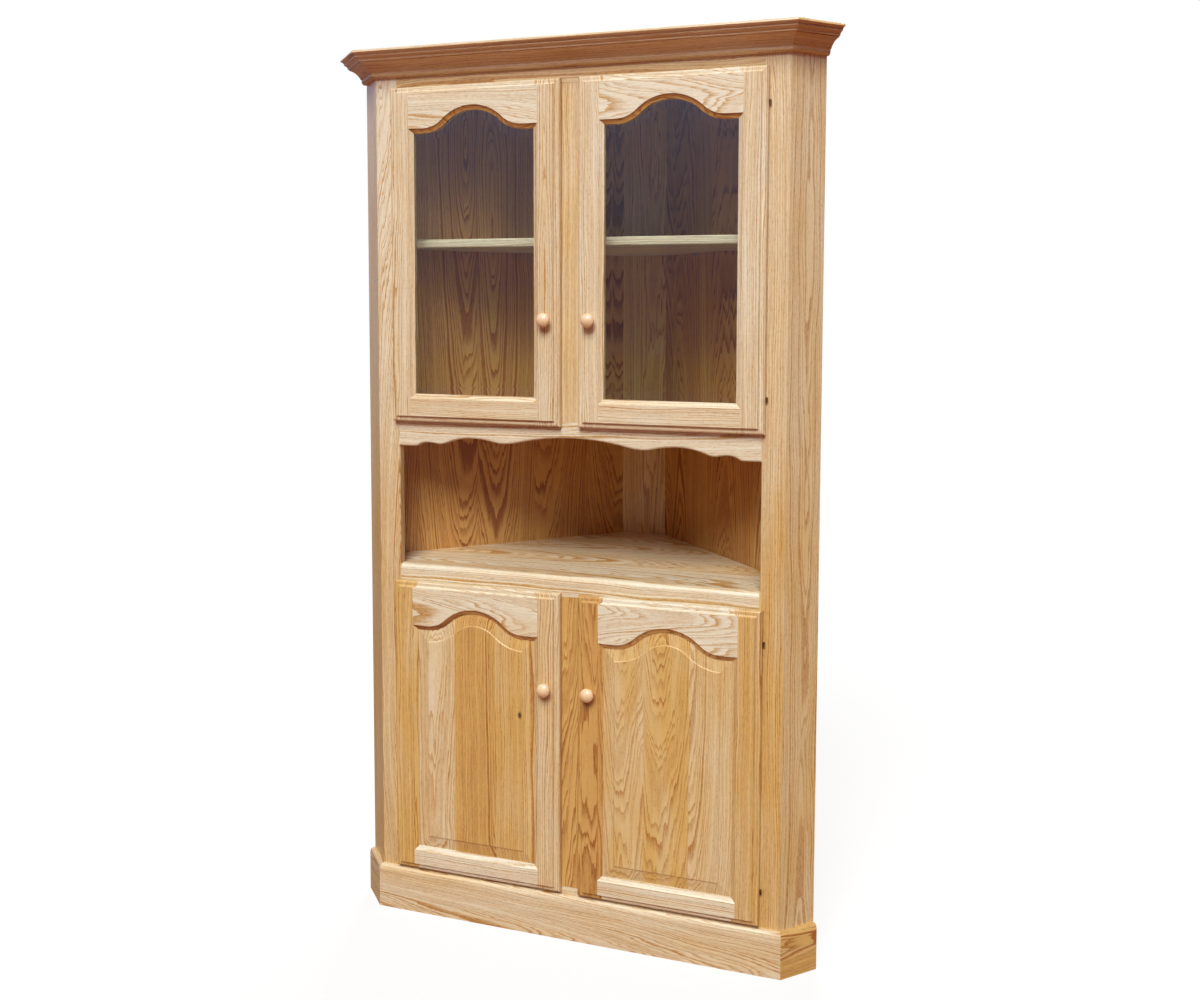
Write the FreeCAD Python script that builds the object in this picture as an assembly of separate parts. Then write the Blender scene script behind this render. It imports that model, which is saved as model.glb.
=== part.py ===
import FreeCAD, Part
import math
import os

from FreeCAD import Vector

os.makedirs("parts", exist_ok=True)

# Corner hutch for a right-angled corner of a room, in millimetres, +Z up.
# It is drawn with its front face in the plane y = 0, the room in front of it at negative y
# and the corner of the room behind it. At the end every piece is moved back or forth
# so that the origin is the middle of the box that holds the hutch, at the floor.

# Driving dimensions of the case, seen from above
front_width = 948.0
return_width = 87.0
corner_width = 126.0
frame_thickness = 19.0
board_thickness = 19.0
wall_thickness = 12.0
wall_rabbet = 10.0
dado_depth = 4.0

# Face frame
stile_width = 52.0
mullion_width = 60.0
tenon_length = 12.0
tenon_thickness = 6.4
tenon_shoulder = 6.0
mortise_clearance = 1.0
bay_round = 5.0
deck_nose = 12.0

# Heights of the rails, each opening between two of them
bottom_rail_foot = 20.0
base_floor_top = 117.0
lower_opening = 660.0
deck_rail_width = 45.0
bay_height = 322.0
valance_rail_width = 67.5
upper_opening = 730.0
top_rail_width = 88.0

# Loose shelves and their pins
shelf_clearance = 2.0
shelf_setback = 28.0
shelf_nose = 3.0
display_shelf_height = 386.0
base_shelf_height = 330.0
pin_radius = 2.5
pin_length = 18.0
pin_depth = 8.0
pin_clearance = 0.1
pin_hole_pitch = 32.0
pin_holes_each_way = 2
pin_front_inset = 60.0
pin_rear_inset = 150.0

# Crown moulding and plinth
crown_height = 54.0
crown_projection = 60.5
crown_nose_radius = 5.5
plinth_height = 100.0
plinth_thickness = 12.5
plinth_round = 9.0
plinth_land = 0.5

# Doors, all four alike in width and section
door_thickness = 19.0
door_gap = 2.0
door_overlay = 9.0
door_member_width = 60.0
upper_bottom_rail = 63.5
lower_bottom_rail = 56.0
upper_crown_rail = 57.0
lower_crown_rail = 63.5
arch_rise = 46.5
arch_shoulder = 27.0
arch_crown_share = 0.556

# Routed edge round each door
edge_quirk = 1.0
edge_cove = 5.0
edge_flat = 3.5
edge_round = 5.0

# Moulding round the inside of each door frame, and the groove or rabbet behind it
stick_width = 10.0
stick_depth = 6.5
stick_quirk = 0.8
stick_bulge = 0.7
lip_margin = 1.5
groove_width = 6.4
groove_depth = 9.5

# Raised panel of the lower doors
panel_play = 1.5
panel_tongue_clearance = 0.2
panel_bevel_margin = 1.0
panel_field_depth = 2.0
panel_field_step = 2.2

# Bevelled pane of the upper doors and its stops
glass_thickness = 5.0
glass_play = 3.0
glass_clearance = 0.2
glass_bevel = 25.0
glass_bevel_drop = 2.5

# Knobs, turned with a tenon that is glued into the latch stile
knob_radius = 15.4
knob_length = 26.0
knob_foot_radius = 9.0
knob_waist_radius = 7.2
knob_waist_height = 5.0
knob_dome_rise = 3.0
knob_tenon_radius = 4.75
knob_tenon_length = 13.0
knob_tenon_clearance = 0.1
knob_rise_upper = 232.0
knob_drop_lower = 213.0

# Hinges: a barrel beside the edge of the door, one leaf behind the door, one round the frame
hinge_end_distance = 72.0
hinge_axis_out = 2.6
hinge_axis_front = 4.4
hinge_barrel_radius = 2.0
hinge_pin_radius = 0.9
hinge_pin_clearance = 0.05
hinge_barrel_height = 10.0
hinge_knuckle_height = 4.0
hinge_knuckle_gap = 0.2
hinge_leaf_thickness = 0.9
hinge_leaf_height = 50.0
hinge_door_leaf_width = 32.0
hinge_wrap_depth = 15.0
hinge_arm_inner = 1.3
hinge_arm_outer = 0.5
hinge_screw_spacing = 32.0
hinge_door_screw_inset = 23.0
hinge_wrap_screw_depth = 8.0
screw_radius = 1.6
screw_head_radius = 3.2
screw_head_height = 1.6
screw_length = 13.0
screw_clearance = 0.05
screw_slot_reach = 1.7
screw_slot_half = 0.4
screw_slot_depth = 0.9

# Bumpers behind the latch corners of the doors, and glue blocks under the base floor
bumper_radius = 4.0
bumper_thickness = 1.8
bumper_inset = 14.0
block_size = 19.0
block_length = 70.0
block_spread = 210.0

# How far cutting tools run past the wood
overrun = 4.0

# Places worked out from the sizes above
root_two = math.sqrt(2.0)
mitre = math.tan(math.radians(22.5))
half_front = front_width / 2
leg = return_width / root_two
wall_line = half_front + 2 * leg
corner_y = wall_line - corner_width / 2
centre_y = (corner_y - crown_projection) / 2

opening_outer = half_front - stile_width
opening_inner = mullion_width / 2
lower_top = base_floor_top + lower_opening
deck_top = lower_top + deck_rail_width
display_floor_top = deck_top + bay_height + board_thickness
valance_low = display_floor_top - valance_rail_width
upper_top = display_floor_top + upper_opening
height = upper_top + top_rail_width

face_y = -(door_gap + door_thickness)
lip_depth = stick_depth + lip_margin
back_y = -door_gap
door_inner = opening_inner - door_overlay
door_outer = opening_outer + door_overlay
door_middle = (door_inner + door_outer) / 2
half_sight = (door_outer - door_inner) / 2 - door_member_width
hinge_axis_x = door_outer + hinge_axis_out
hinge_axis_y = -hinge_axis_front

EX = Vector(1, 0, 0)
EY = Vector(0, 1, 0)
EZ = Vector(0, 0, 1)


def box(x0, x1, y0, y1, z0, z1):
    return Part.makeBox(x1 - x0, y1 - y0, z1 - z0, Vector(x0, y0, z0))


def prism(points, z0, z1):
    """Upright prism on a plan outline."""
    ring = [Vector(x, y, z0) for x, y in points]
    return Part.Face(Part.makePolygon(ring + ring[:1])).extrude(EZ * (z1 - z0))


def cylinder(radius, start, axis, length):
    return Part.makeCylinder(radius, length, start, axis)


def section(path, origin, u, v):
    """Closed outline of lines and arcs, given in the directions u and v.

    Each step is an end point, or a pair of a point on the arc and its end point."""

    def place(point):
        return origin + u * point[0] + v * point[1]

    edges = []
    here = place(path[0])
    for step in path[1:] + path[:1]:
        if isinstance(step[0], tuple):
            end = place(step[1])
            edges.append(Part.Arc(here, place(step[0]), end).toShape())
        else:
            end = place(step)
            edges.append(Part.makeLine(here, end))
        here = end
    return Part.Wire(edges)


def quarter(centre, radius, across, along, end):
    """One rounded step of a path: the point halfway round a quarter circle, and its end."""
    half = radius / root_two
    return ((centre[0] + across * half, centre[1] + along * half), end)


def bowed(start, end, bow):
    """One step of a path from start to end that bows to the left by the given amount."""
    du = end[0] - start[0]
    dv = end[1] - start[1]
    span = math.hypot(du, dv)
    middle = ((start[0] + end[0]) / 2 - dv / span * bow, (start[1] + end[1]) / 2 + du / span * bow)
    return (middle, end)


def domed(edge, top):
    """One step of a path from the edge of a dome to its top on the axis."""
    rise = top - edge[1]
    radius = (edge[0] ** 2 + rise ** 2) / (2 * rise)
    turn = math.asin(edge[0] / radius) / 2
    return ((radius * math.sin(turn), top - radius * (1 - math.cos(turn))), (0, top))


def mirrored(shape):
    return shape.mirror(Vector(0, 0, 0), EX)


def write(name, shape):
    placed = shape.copy()
    placed.translate(Vector(0, -centre_y, 0))
    placed.exportStep("parts/" + name + ".step")


def plan_outline(front, side_in, wall_in, corner_in):
    """Outline of a level board: its front edge, and how far it lies inside the outer faces."""
    shoulder_y = leg + (side_in - wall_in) / root_two
    back = corner_y - corner_in
    right = [
        (half_front + front - side_in * root_two, front),
        (half_front + shoulder_y - side_in * root_two, shoulder_y),
        (wall_line - back - wall_in * root_two, back),
    ]
    left = [(-x, y) for x, y in reversed(right)]
    return right + left


# Boards that are let into the walls, and the two loose shelves
def fixed_board(top):
    """Level board behind the face frame, let into the returns and the wall panels."""
    outline = plan_outline(
        frame_thickness,
        frame_thickness - dado_depth,
        wall_thickness - dado_depth,
        wall_thickness - dado_depth,
    )
    return prism(outline, top - board_thickness, top)


def loose_shelf(top):
    """Level board with play all round and a rounded front edge."""
    outline = plan_outline(
        frame_thickness + shelf_setback,
        frame_thickness + shelf_clearance,
        wall_thickness + shelf_clearance,
        wall_thickness + shelf_clearance,
    )
    shelf = prism(outline, top - board_thickness, top)
    front = frame_thickness + shelf_setback
    level = [e for e in shelf.Edges if e.BoundBox.ZLength < shelf_nose]
    nose = [e for e in level if e.BoundBox.YMax < front + shelf_nose / 2]
    return shelf.makeFillet(shelf_nose, nose)


# Pins under the loose shelves, square to the wall panels
def pin_places(shelf_top):
    """Middle of each pin hole mouth on the right wall panel, with the height of the pin."""
    inner_wall = wall_line - wall_thickness * root_two
    front_y = leg + pin_front_inset / root_two
    rear_y = corner_y - wall_thickness - pin_rear_inset / root_two
    z = shelf_top - board_thickness - pin_clearance - pin_radius
    return [Vector(inner_wall - y, y, z) for y in (front_y, rear_y)]


def shelf_pin(place):
    outward = Vector(1, 1, 0).normalize()
    return cylinder(pin_radius, place + outward * pin_depth, -outward, pin_length)


def pin_hole(place):
    outward = Vector(1, 1, 0).normalize()
    radius = pin_radius + pin_clearance
    start = place - outward * overrun
    return cylinder(radius, start, outward, pin_depth + pin_clearance + overrun)


def all_pins(shelf_tops):
    pins = [shelf_pin(place) for top in shelf_tops for place in pin_places(top)]
    return Part.makeCompound(pins + [mirrored(pin) for pin in pins])


def pin_holes(shelf_tops):
    """Each row has a few holes above and below the one in use."""
    steps = range(-pin_holes_each_way, pin_holes_each_way + 1)
    rises = [EZ * (step * pin_hole_pitch) for step in steps]
    places = [place for top in shelf_tops for place in pin_places(top)]
    return [pin_hole(place + rise) for place in places for rise in rises]


# Upright boards round the case
def stile_blank():
    outline = [
        (opening_outer, 0),
        (half_front, 0),
        (half_front - mitre * frame_thickness, frame_thickness),
        (opening_outer, frame_thickness),
    ]
    return prism(outline, 0, height)


def return_blank():
    """Narrow side board at 45 degrees, mitred to the stile, with a rabbet for the wall panel."""
    end = Vector(half_front + leg, leg, 0)
    inward = Vector(-1, 1, 0).normalize()
    forward = Vector(-1, -1, 0).normalize()
    lip = end + inward * (frame_thickness - wall_rabbet)
    inner = end + inward * frame_thickness + forward * wall_thickness
    points = [
        (half_front, 0),
        (end.x, end.y),
        (lip.x, lip.y),
        ((lip + forward * wall_thickness).x, (lip + forward * wall_thickness).y),
        (inner.x, inner.y),
        (half_front - mitre * frame_thickness, frame_thickness),
    ]
    return prism(points, 0, height)


def wall_blank():
    """Back panel along one wall of the room, from the rabbet of the return to the corner panel."""
    lip = frame_thickness - wall_rabbet
    start = Vector(half_front + leg - lip / root_two, leg + lip / root_two, 0)
    forward = Vector(-1, -1, 0).normalize() * wall_thickness
    points = [
        (start.x, start.y),
        (corner_width / 2, corner_y),
        (corner_width / 2 - mitre * wall_thickness, corner_y - wall_thickness),
        ((start + forward).x, (start + forward).y),
    ]
    return prism(points, 0, height)


def corner_blank():
    inner = corner_width / 2 - mitre * wall_thickness
    outer = corner_width / 2
    back = corner_y
    points = [(-outer, back), (outer, back), (inner, back - wall_thickness), (-inner, back - wall_thickness)]
    return prism(points, 0, height)


# Rails and mullions of the face frame, with stub tenons
def tenon_y():
    return (frame_thickness - tenon_thickness) / 2


def end_tenon(z0, z1, grow):
    """Tenon at the right end of a rail, or with grow its mortise."""
    y = tenon_y()
    low = z0 + tenon_shoulder
    high = z1 - tenon_shoulder
    reach = opening_outer + tenon_length + grow
    return box(opening_outer - overrun, reach, y, y + tenon_thickness, low, high)


def mullion_tenon(z0, z1):
    half = mullion_width / 2 - tenon_shoulder
    y = tenon_y()
    return box(-half, half, y, y + tenon_thickness, z0, z1)


def rail(z0, z1):
    tenon = end_tenon(z0, z1, 0)
    body = box(-opening_outer, opening_outer, 0, frame_thickness, z0, z1)
    return body.fuse([tenon, mirrored(tenon)]).removeSplitter()


def mullion(z0, z1):
    body = box(-mullion_width / 2, mullion_width / 2, 0, frame_thickness, z0, z1)
    return body.fuse(mullion_tenon(z0 - tenon_length, z1 + tenon_length)).removeSplitter()


def mullion_mortise(z0, z1):
    return mullion_tenon(z0 - tenon_length - mortise_clearance, z1 + tenon_length + mortise_clearance)


# Scalloped lower edge of the valance: turning points from the middle outwards,
# as shares of the half opening and of the rail's width
valance_reach_shares = (0.0, 0.393, 0.572, 0.765, 0.834, 0.908)
valance_rise_shares = (0.485, 0.2, 0.335, 0.097, 0.143, 0.0)
valance_hollow_share = 0.76


def s_curve(start, end, hollow_first):
    """Two tangent arcs from one level turning point to the next."""
    run = end[0] - start[0]
    fall = start[1] - end[1]
    whole = (run * run + fall * fall) / (2 * abs(fall))
    first = whole * (valance_hollow_share if hollow_first else 1 - valance_hollow_share)
    down = 1 if fall > 0 else -1
    centre = (start[0], start[1] - down * first)
    far = (end[0], end[1] + down * (whole - first))
    turn = math.atan2(far[0] - centre[0], down * (far[1] - centre[1]))

    def on_arc(middle, radius, angle, side):
        along = side * radius * math.sin(angle)
        rise = side * down * radius * math.cos(angle)
        return (middle[0] + along, middle[1] + rise)

    join = on_arc(centre, first, turn, 1)
    return [
        (on_arc(centre, first, turn / 2, 1), join),
        (on_arc(far, whole - first, turn / 2, -1), end),
    ]


def valance_edge():
    """Right half of the scalloped edge, from the middle to the tab at the stile."""
    turns = [
        (opening_outer * reach, valance_low + valance_rail_width * rise)
        for reach, rise in zip(valance_reach_shares, valance_rise_shares)
    ]
    steps = []
    for index in range(len(turns) - 1):
        steps += s_curve(turns[index], turns[index + 1], turns[index][1] > turns[index + 1][1])
    return turns[0], steps


def valance_rail():
    """Rail over the open bay, scalloped below and rounded along the scallops."""
    start, steps = valance_edge()
    top = valance_low + valance_rail_width
    tab = steps[-1][1]
    path = [start] + steps + [(opening_outer, tab[1]), (opening_outer, top), (0, top)]
    half = Part.Face(section(path, Vector(0, 0, 0), EX, EZ)).extrude(EY * frame_thickness)
    body = half.fuse(mirrored(half)).removeSplitter()
    low = [e for e in body.Edges if e.BoundBox.YMax < overrun and e.BoundBox.ZMax < top - tenon_shoulder]
    lines = [e for e in low if e.BoundBox.XLength > e.BoundBox.ZLength]
    body = body.makeFillet(bay_round, lines)
    tenon = end_tenon(valance_low, top, 0)
    return body.fuse([tenon, mirrored(tenon)]).removeSplitter()


def deck_rail():
    """Rail under the deck, its upper front edge rounded off."""
    body = box(-opening_outer, opening_outer, 0, frame_thickness, lower_top, deck_top)
    nose = [e for e in body.Edges if e.BoundBox.YMax < overrun and e.BoundBox.ZMin > lower_top + deck_nose]
    body = body.makeFillet(deck_nose, nose)
    tenon = end_tenon(lower_top, deck_top, 0)
    return body.fuse([tenon, mirrored(tenon)]).removeSplitter()


def bay_edge_waste():
    """What is rounded off the inner edge of a stile along the open bay."""
    centre = opening_outer + bay_round
    square = box(opening_outer - overrun, centre, -overrun, bay_round, deck_top, valance_low)
    rod = cylinder(bay_round, Vector(centre, bay_round, deck_top), EZ, valance_low - deck_top)
    return square.cut(rod)


# Mouldings that run round the front and the two returns
def moulding(path, reach, z0, z1):
    """Front length and right return of a moulding with the given section, mitred together."""
    far = reach + overrun
    inner = (half_front - mitre * overrun, overrun)
    outer = (half_front + mitre * far, -far)
    middle = prism([(-inner[0], inner[1]), inner, outer, (-outer[0], outer[1])], z0 - overrun, z1 + overrun)
    along = Vector(1, 1, 0).normalize()
    out = Vector(1, -1, 0).normalize()
    end = Vector(half_front + leg, leg, 0)
    tip = end + out * far
    root = end - out * overrun
    side = prism([inner, (root.x, root.y), (tip.x, tip.y), outer], z0 - overrun, z1 + overrun)
    length = half_front + far
    front = Part.Face(section(path, Vector(-length, 0, z0), -EY, EZ)).extrude(EX * (2 * length))
    start = Vector(half_front, 0, z0) - along * far
    flank = Part.Face(section(path, start, out, EZ)).extrude(along * (return_width + 2 * far))
    return front.common(middle), flank.common(side)


# Section of the crown from its foot outwards and upwards: out as a share of its projection,
# up as a share of its height, and how far the line to there bows in, as a share of the projection
crown_shares = (
    (0.07, 0.0, 0.0),
    (0.195, 0.13, -0.035),
    (0.195, 0.21, 0.0),
    (0.235, 0.225, 0.0),
    (0.66, 0.555, 0.065),
    (0.66, 0.585, 0.0),
    (0.725, 0.6, 0.0),
    (0.725, 0.65, 0.0),
    (0.86, 0.745, 0.02),
    (0.86, 0.8, 0.0),
    (1.0, 0.89, 0.02),
)


def crown_path():
    """Section of the crown: a bead, a wide cove and two small ones under a rounded top edge."""
    path = [(0, 0)]
    here = path[0]
    for out_share, up_share, bow_share in crown_shares:
        point = (crown_projection * out_share, crown_height * up_share)
        bow = crown_projection * bow_share
        path.append(bowed(here, point, bow) if bow else point)
        here = point
    flat = crown_projection - crown_nose_radius
    shoulder = crown_height - crown_nose_radius
    nose = quarter((flat, shoulder), crown_nose_radius, 1, 1, (flat, crown_height))
    return path + [(crown_projection, shoulder), nose, (0, crown_height)]


def plinth_path():
    """Section of the plinth: a board with its upper edge rounded."""
    radius = min(plinth_round, plinth_thickness - 2 * plinth_land)
    out = plinth_thickness - plinth_land
    start = plinth_height - radius
    centre = (out - radius, start)
    return [
        (0, 0),
        (plinth_thickness, 0),
        (plinth_thickness, start - plinth_land),
        (out, start),
        quarter(centre, radius, 1, 1, (centre[0], plinth_height)),
        (0, plinth_height),
    ]


# Doors. Each is drawn on the right and mirrored for the left.
class Door:
    """Heights of one door: its ends, and the opening inside its frame."""

    def __init__(self, low_opening, high_opening, bottom_rail, crown_rail):
        self.z0 = low_opening - door_overlay
        self.z1 = high_opening + door_overlay
        self.sight_low = self.z0 + bottom_rail
        self.shoulder = self.z1 - crown_rail - arch_rise


def arch_steps(door, grow):
    """Upper edge of the opening, right to left, moved outwards by grow."""
    span = half_sight - arch_shoulder
    whole = (span * span + arch_rise * arch_rise) / (2 * arch_rise)
    crown = whole * arch_crown_share
    hollow = whole - crown
    turn = math.atan2(span, whole - arch_rise)
    flat = door.shoulder + grow
    small = hollow - grow
    large = crown + grow
    low = door.shoulder + arch_rise - crown
    high = door.shoulder + hollow

    def hollow_point(side, angle):
        return (door_middle + side * (span - small * math.sin(angle)), high - small * math.cos(angle))

    def crown_point(side, angle):
        return (door_middle + side * large * math.sin(angle), low + large * math.cos(angle))

    return [
        (door_middle + span, flat),
        (hollow_point(1, turn / 2), crown_point(1, turn)),
        (crown_point(0, 0), crown_point(-1, turn)),
        (hollow_point(-1, turn / 2), (door_middle - span, flat)),
    ]


def opening_outline(door, grow, y):
    """Outline of a door's opening, all round larger by grow, in the plane y."""
    half = half_sight + grow
    left = door_middle - half
    right = door_middle + half
    low = door.sight_low - grow
    flat = door.shoulder + grow
    path = [(left, low), (right, low), (right, flat)] + arch_steps(door, grow) + [(left, flat)]
    return section(path, Vector(0, y, 0), EX, EZ)


def opening_prism(door, grow, y0, y1):
    return Part.Face(opening_outline(door, grow, y0)).extrude(EY * (y1 - y0))


def stick_path():
    """Waste of the moulding inside a door frame: in from the opening, and down from the face."""
    start = (stick_width, stick_quirk)
    end = (0, stick_depth)
    return [
        (-overrun, -overrun),
        (stick_width, -overrun),
        start,
        bowed(start, end, -stick_bulge),
        (-overrun, stick_depth),
    ]


def edge_path():
    """Waste of the routed outer edge: in from the edge, and down from the face."""
    width = edge_cove + edge_flat + edge_round
    step = edge_quirk + edge_cove
    return [
        (-overrun, -overrun),
        (width, -overrun),
        (width, edge_quirk),
        quarter((width - edge_cove, edge_quirk), edge_cove, 1, 1, (width - edge_cove, step)),
        (edge_round, step),
        quarter((edge_round, step + edge_round), edge_round, -1, -1, (0, step + edge_round)),
        (-overrun, step + edge_round),
    ]


def straight_waste(path, origin, inward, along, length):
    return Part.Face(section(path, origin, inward, EY)).extrude(along * length)


def edge_waste(door):
    """The routed edge round all four sides of a door."""
    tall = door.z1 - door.z0 + 2 * overrun
    wide = door_outer - door_inner + 2 * overrun
    low = door.z0 - overrun
    near = door_inner - overrun
    return [
        straight_waste(edge_path(), Vector(door_inner, face_y, low), EX, EZ, tall),
        straight_waste(edge_path(), Vector(door_outer, face_y, low), -EX, EZ, tall),
        straight_waste(edge_path(), Vector(near, face_y, door.z0), EZ, EX, wide),
        straight_waste(edge_path(), Vector(near, face_y, door.z1), -EZ, EX, wide),
    ]


def recess_box(x0, x1, z0, z1, glazed):
    """Groove for a panel, or rabbet for a pane, along a straight member."""
    depth = door_thickness + overrun if glazed else lip_depth + groove_width
    return box(x0, x1, face_y + lip_depth, face_y + depth, z0, z1)


def door_stile(door, sight_x, side, glazed):
    """Upright of a door: side is 1 where the opening lies at lower x, else -1."""
    outer = sight_x + side * door_member_width
    low = door.z0
    tall = door.z1 - door.z0
    blank = box(min(sight_x, outer), max(sight_x, outer), face_y, back_y, low, door.z1)
    start = Vector(sight_x, face_y, low - overrun)
    stick = straight_waste(stick_path(), start, EX * side, EZ, tall + 2 * overrun)
    far = sight_x + side * groove_depth
    near = sight_x - side * overrun
    recess = recess_box(min(near, far), max(near, far), low - overrun, door.z1 + overrun, glazed)
    return blank.cut([stick, recess] + edge_waste(door))


def rail_reach():
    """How far a rail reaches past the opening, over the moulding of the stile."""
    return max(stick_width, groove_depth)


def bottom_rail(door, stiles, glazed):
    reach = half_sight + rail_reach()
    blank = box(door_middle - reach, door_middle + reach, face_y, back_y, door.z0, door.sight_low)
    start = Vector(door_inner, face_y, door.sight_low)
    stick = straight_waste(stick_path(), start, -EZ, EX, door_outer - door_inner)
    recess = recess_box(
        door_inner, door_outer, door.sight_low - groove_depth, door.sight_low + overrun, glazed
    )
    return blank.cut([stick, recess] + edge_waste(door) + stiles)


def arch_stick_waste(door):
    """The same moulding swept along the arch of the top rail."""
    reach = half_sight + rail_reach() + overrun
    steps = arch_steps(door, 0)
    path = [(door_middle + reach, door.shoulder)] + steps + [(door_middle - reach, door.shoulder)]

    def place(point):
        return Vector(point[0], face_y, point[1])

    edges = []
    here = place(path[0])
    for step in path[1:]:
        if isinstance(step[0], tuple):
            edges.append(Part.Arc(here, place(step[0]), place(step[1])).toShape())
            here = place(step[1])
        else:
            edges.append(Part.makeLine(here, place(step)))
            here = place(step)
    start = Vector(door_middle + reach, face_y, door.shoulder)
    return Part.Wire(edges).makePipeShell([section(stick_path(), start, EZ, EY)], True, False)


def top_rail(door, stiles, glazed):
    """Arched rail, coped over the stiles at its ends."""
    reach = half_sight + rail_reach()
    blank = box(door_middle - reach, door_middle + reach, face_y, back_y, door.shoulder, door.z1)
    clear = opening_prism(door, 0, face_y - overrun, back_y + overrun)
    depth = door_thickness + overrun if glazed else lip_depth + groove_width
    recess = opening_prism(door, groove_depth, face_y + lip_depth, face_y + depth)
    ends = recess_box(
        door_inner, door_outer, door.shoulder - overrun, door.shoulder + groove_depth, glazed
    )
    waste = [clear, recess, ends, arch_stick_waste(door)]
    return blank.cut(waste + edge_waste(door) + stiles)


def raised_panel(door):
    """Panel held in the grooves, bevelled up to a raised field with a chamfered edge."""
    tongue_front = face_y + lip_depth + panel_tongue_clearance
    tongue_back = face_y + lip_depth + groove_width - panel_tongue_clearance
    field_front = face_y + panel_field_depth
    field_foot = field_front + panel_field_step
    bevel = arch_shoulder - panel_bevel_margin
    tongue = opening_prism(door, groove_depth - panel_play, tongue_front, tongue_back)
    slope = Part.makeLoft(
        [opening_outline(door, 0, tongue_front), opening_outline(door, -bevel, field_foot)], True, True
    )
    edge = bevel + panel_field_step
    field = Part.makeLoft(
        [opening_outline(door, -bevel, field_foot), opening_outline(door, -edge, field_front)], True, True
    )
    return tongue.fuse([slope, field]).removeSplitter()


def glass_front():
    """Depth of the flat middle of the pane, so that its bevel just clears the lip."""
    cover = groove_depth - glass_play
    drop = glass_bevel_drop * (glass_bevel - cover) / glass_bevel
    return face_y + lip_depth + glass_clearance - drop


def glass_pane(door):
    """Pane with a wide bevel round its front."""
    cover = groove_depth - glass_play
    front = glass_front()
    bevel_foot = front + glass_bevel_drop
    slab = opening_prism(door, cover, bevel_foot, front + glass_thickness)
    slope = Part.makeLoft(
        [opening_outline(door, cover, bevel_foot), opening_outline(door, cover - glass_bevel, front)],
        True,
        True,
    )
    return slab.fuse(slope).removeSplitter()


def glass_stops(door):
    """Four wooden strips that hold the pane in its rabbet from behind."""
    front = glass_front() + glass_thickness
    ring = opening_prism(door, groove_depth, front, back_y)
    ring = ring.cut(opening_prism(door, 0, front - overrun, back_y + overrun))
    far = half_sight + groove_depth + overrun
    left = door_middle - far
    right = door_middle + far
    y0 = front - overrun
    y1 = back_y + overrun
    low = box(left, right, y0, y1, door.sight_low - groove_depth - overrun, door.sight_low)
    high = box(left, right, y0, y1, door.shoulder, door.z1)
    sides = [
        box(left, door_middle, y0, y1, door.sight_low, door.shoulder),
        box(door_middle, right, y0, y1, door.sight_low, door.shoulder),
    ]
    return Part.makeCompound([ring.common(part).Solids[0] for part in [low, high] + sides])


def knob_height(door, upper):
    return door.z0 + knob_rise_upper if upper else door.z1 - knob_drop_lower


def knob_x():
    return door_inner + door_member_width / 2


# Outline of the knob's head: height of its rim, the edge of its dome, and how far the lines bow
knob_rim_share = 0.45
knob_dome_share = 0.74
knob_neck_bow_share = 0.1
knob_rim_bow_share = 0.12


def knob(z):
    """Turned knob with its tenon, its axis square to the door."""
    foot = (knob_foot_radius, 0)
    waist = (knob_waist_radius, knob_waist_height)
    rim_height = knob_waist_height + (knob_length - knob_waist_height) * knob_rim_share
    rim = (knob_radius, rim_height)
    edge = (knob_radius * knob_dome_share, knob_length - knob_dome_rise)
    path = [
        (0, 0),
        foot,
        bowed(foot, waist, knob_waist_height * knob_neck_bow_share),
        bowed(waist, rim, knob_radius * knob_neck_bow_share),
        bowed(rim, edge, -knob_radius * knob_rim_bow_share),
        domed(edge, knob_length),
    ]
    origin = Vector(knob_x(), face_y, z)
    head = Part.Face(section(path, origin, EX, -EY)).revolve(origin, EY, 360)
    tenon = cylinder(knob_tenon_radius, origin, EY, knob_tenon_length)
    return head.fuse(tenon).removeSplitter()


def knob_hole(z):
    start = Vector(knob_x(), face_y - overrun, z)
    depth = overrun + knob_tenon_length + knob_tenon_clearance
    return cylinder(knob_tenon_radius + knob_tenon_clearance, start, EY, depth)


# Hinges
def hinge_heights(door):
    return [door.z0 + hinge_end_distance, door.z1 - hinge_end_distance]


def knuckle_parts(z):
    """Heights of the three knuckles of a barrel: the frame has the outer two."""
    half = hinge_barrel_height / 2
    middle = hinge_knuckle_height / 2
    inner = middle + hinge_knuckle_gap
    return [(z - half, z - inner), (z + inner, z + half)], (z - middle, z + middle)


def barrel(radius, z0, z1):
    return cylinder(radius, Vector(hinge_axis_x, hinge_axis_y, z0), EZ, z1 - z0)


def arm(z0, z1, y1):
    """Strip that joins a knuckle to its leaf."""
    return box(hinge_axis_x - hinge_arm_inner, hinge_axis_x + hinge_arm_outer, hinge_axis_y, y1, z0, z1)


def frame_leaf(z):
    """Leaf on the frame: under the door, then back along the edge of the opening."""
    t = hinge_leaf_thickness
    half = hinge_leaf_height / 2
    barrel_half = hinge_barrel_height / 2
    outer_knuckles, middle = knuckle_parts(z)
    shape = box(opening_outer - t, door_outer, -t, 0, z - half, z + half)
    wrap = box(opening_outer - t, opening_outer, -t, hinge_wrap_depth, z - half, z + half)
    tab = box(door_outer, hinge_axis_x + hinge_arm_outer, -t, 0, z - barrel_half, z + barrel_half)
    pieces = [wrap, tab, barrel(hinge_pin_radius, z - barrel_half, z + barrel_half)]
    for z0, z1 in outer_knuckles:
        pieces += [barrel(hinge_barrel_radius, z0, z1), arm(z0, z1, 0)]
    return shape.fuse(pieces).removeSplitter()


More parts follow.
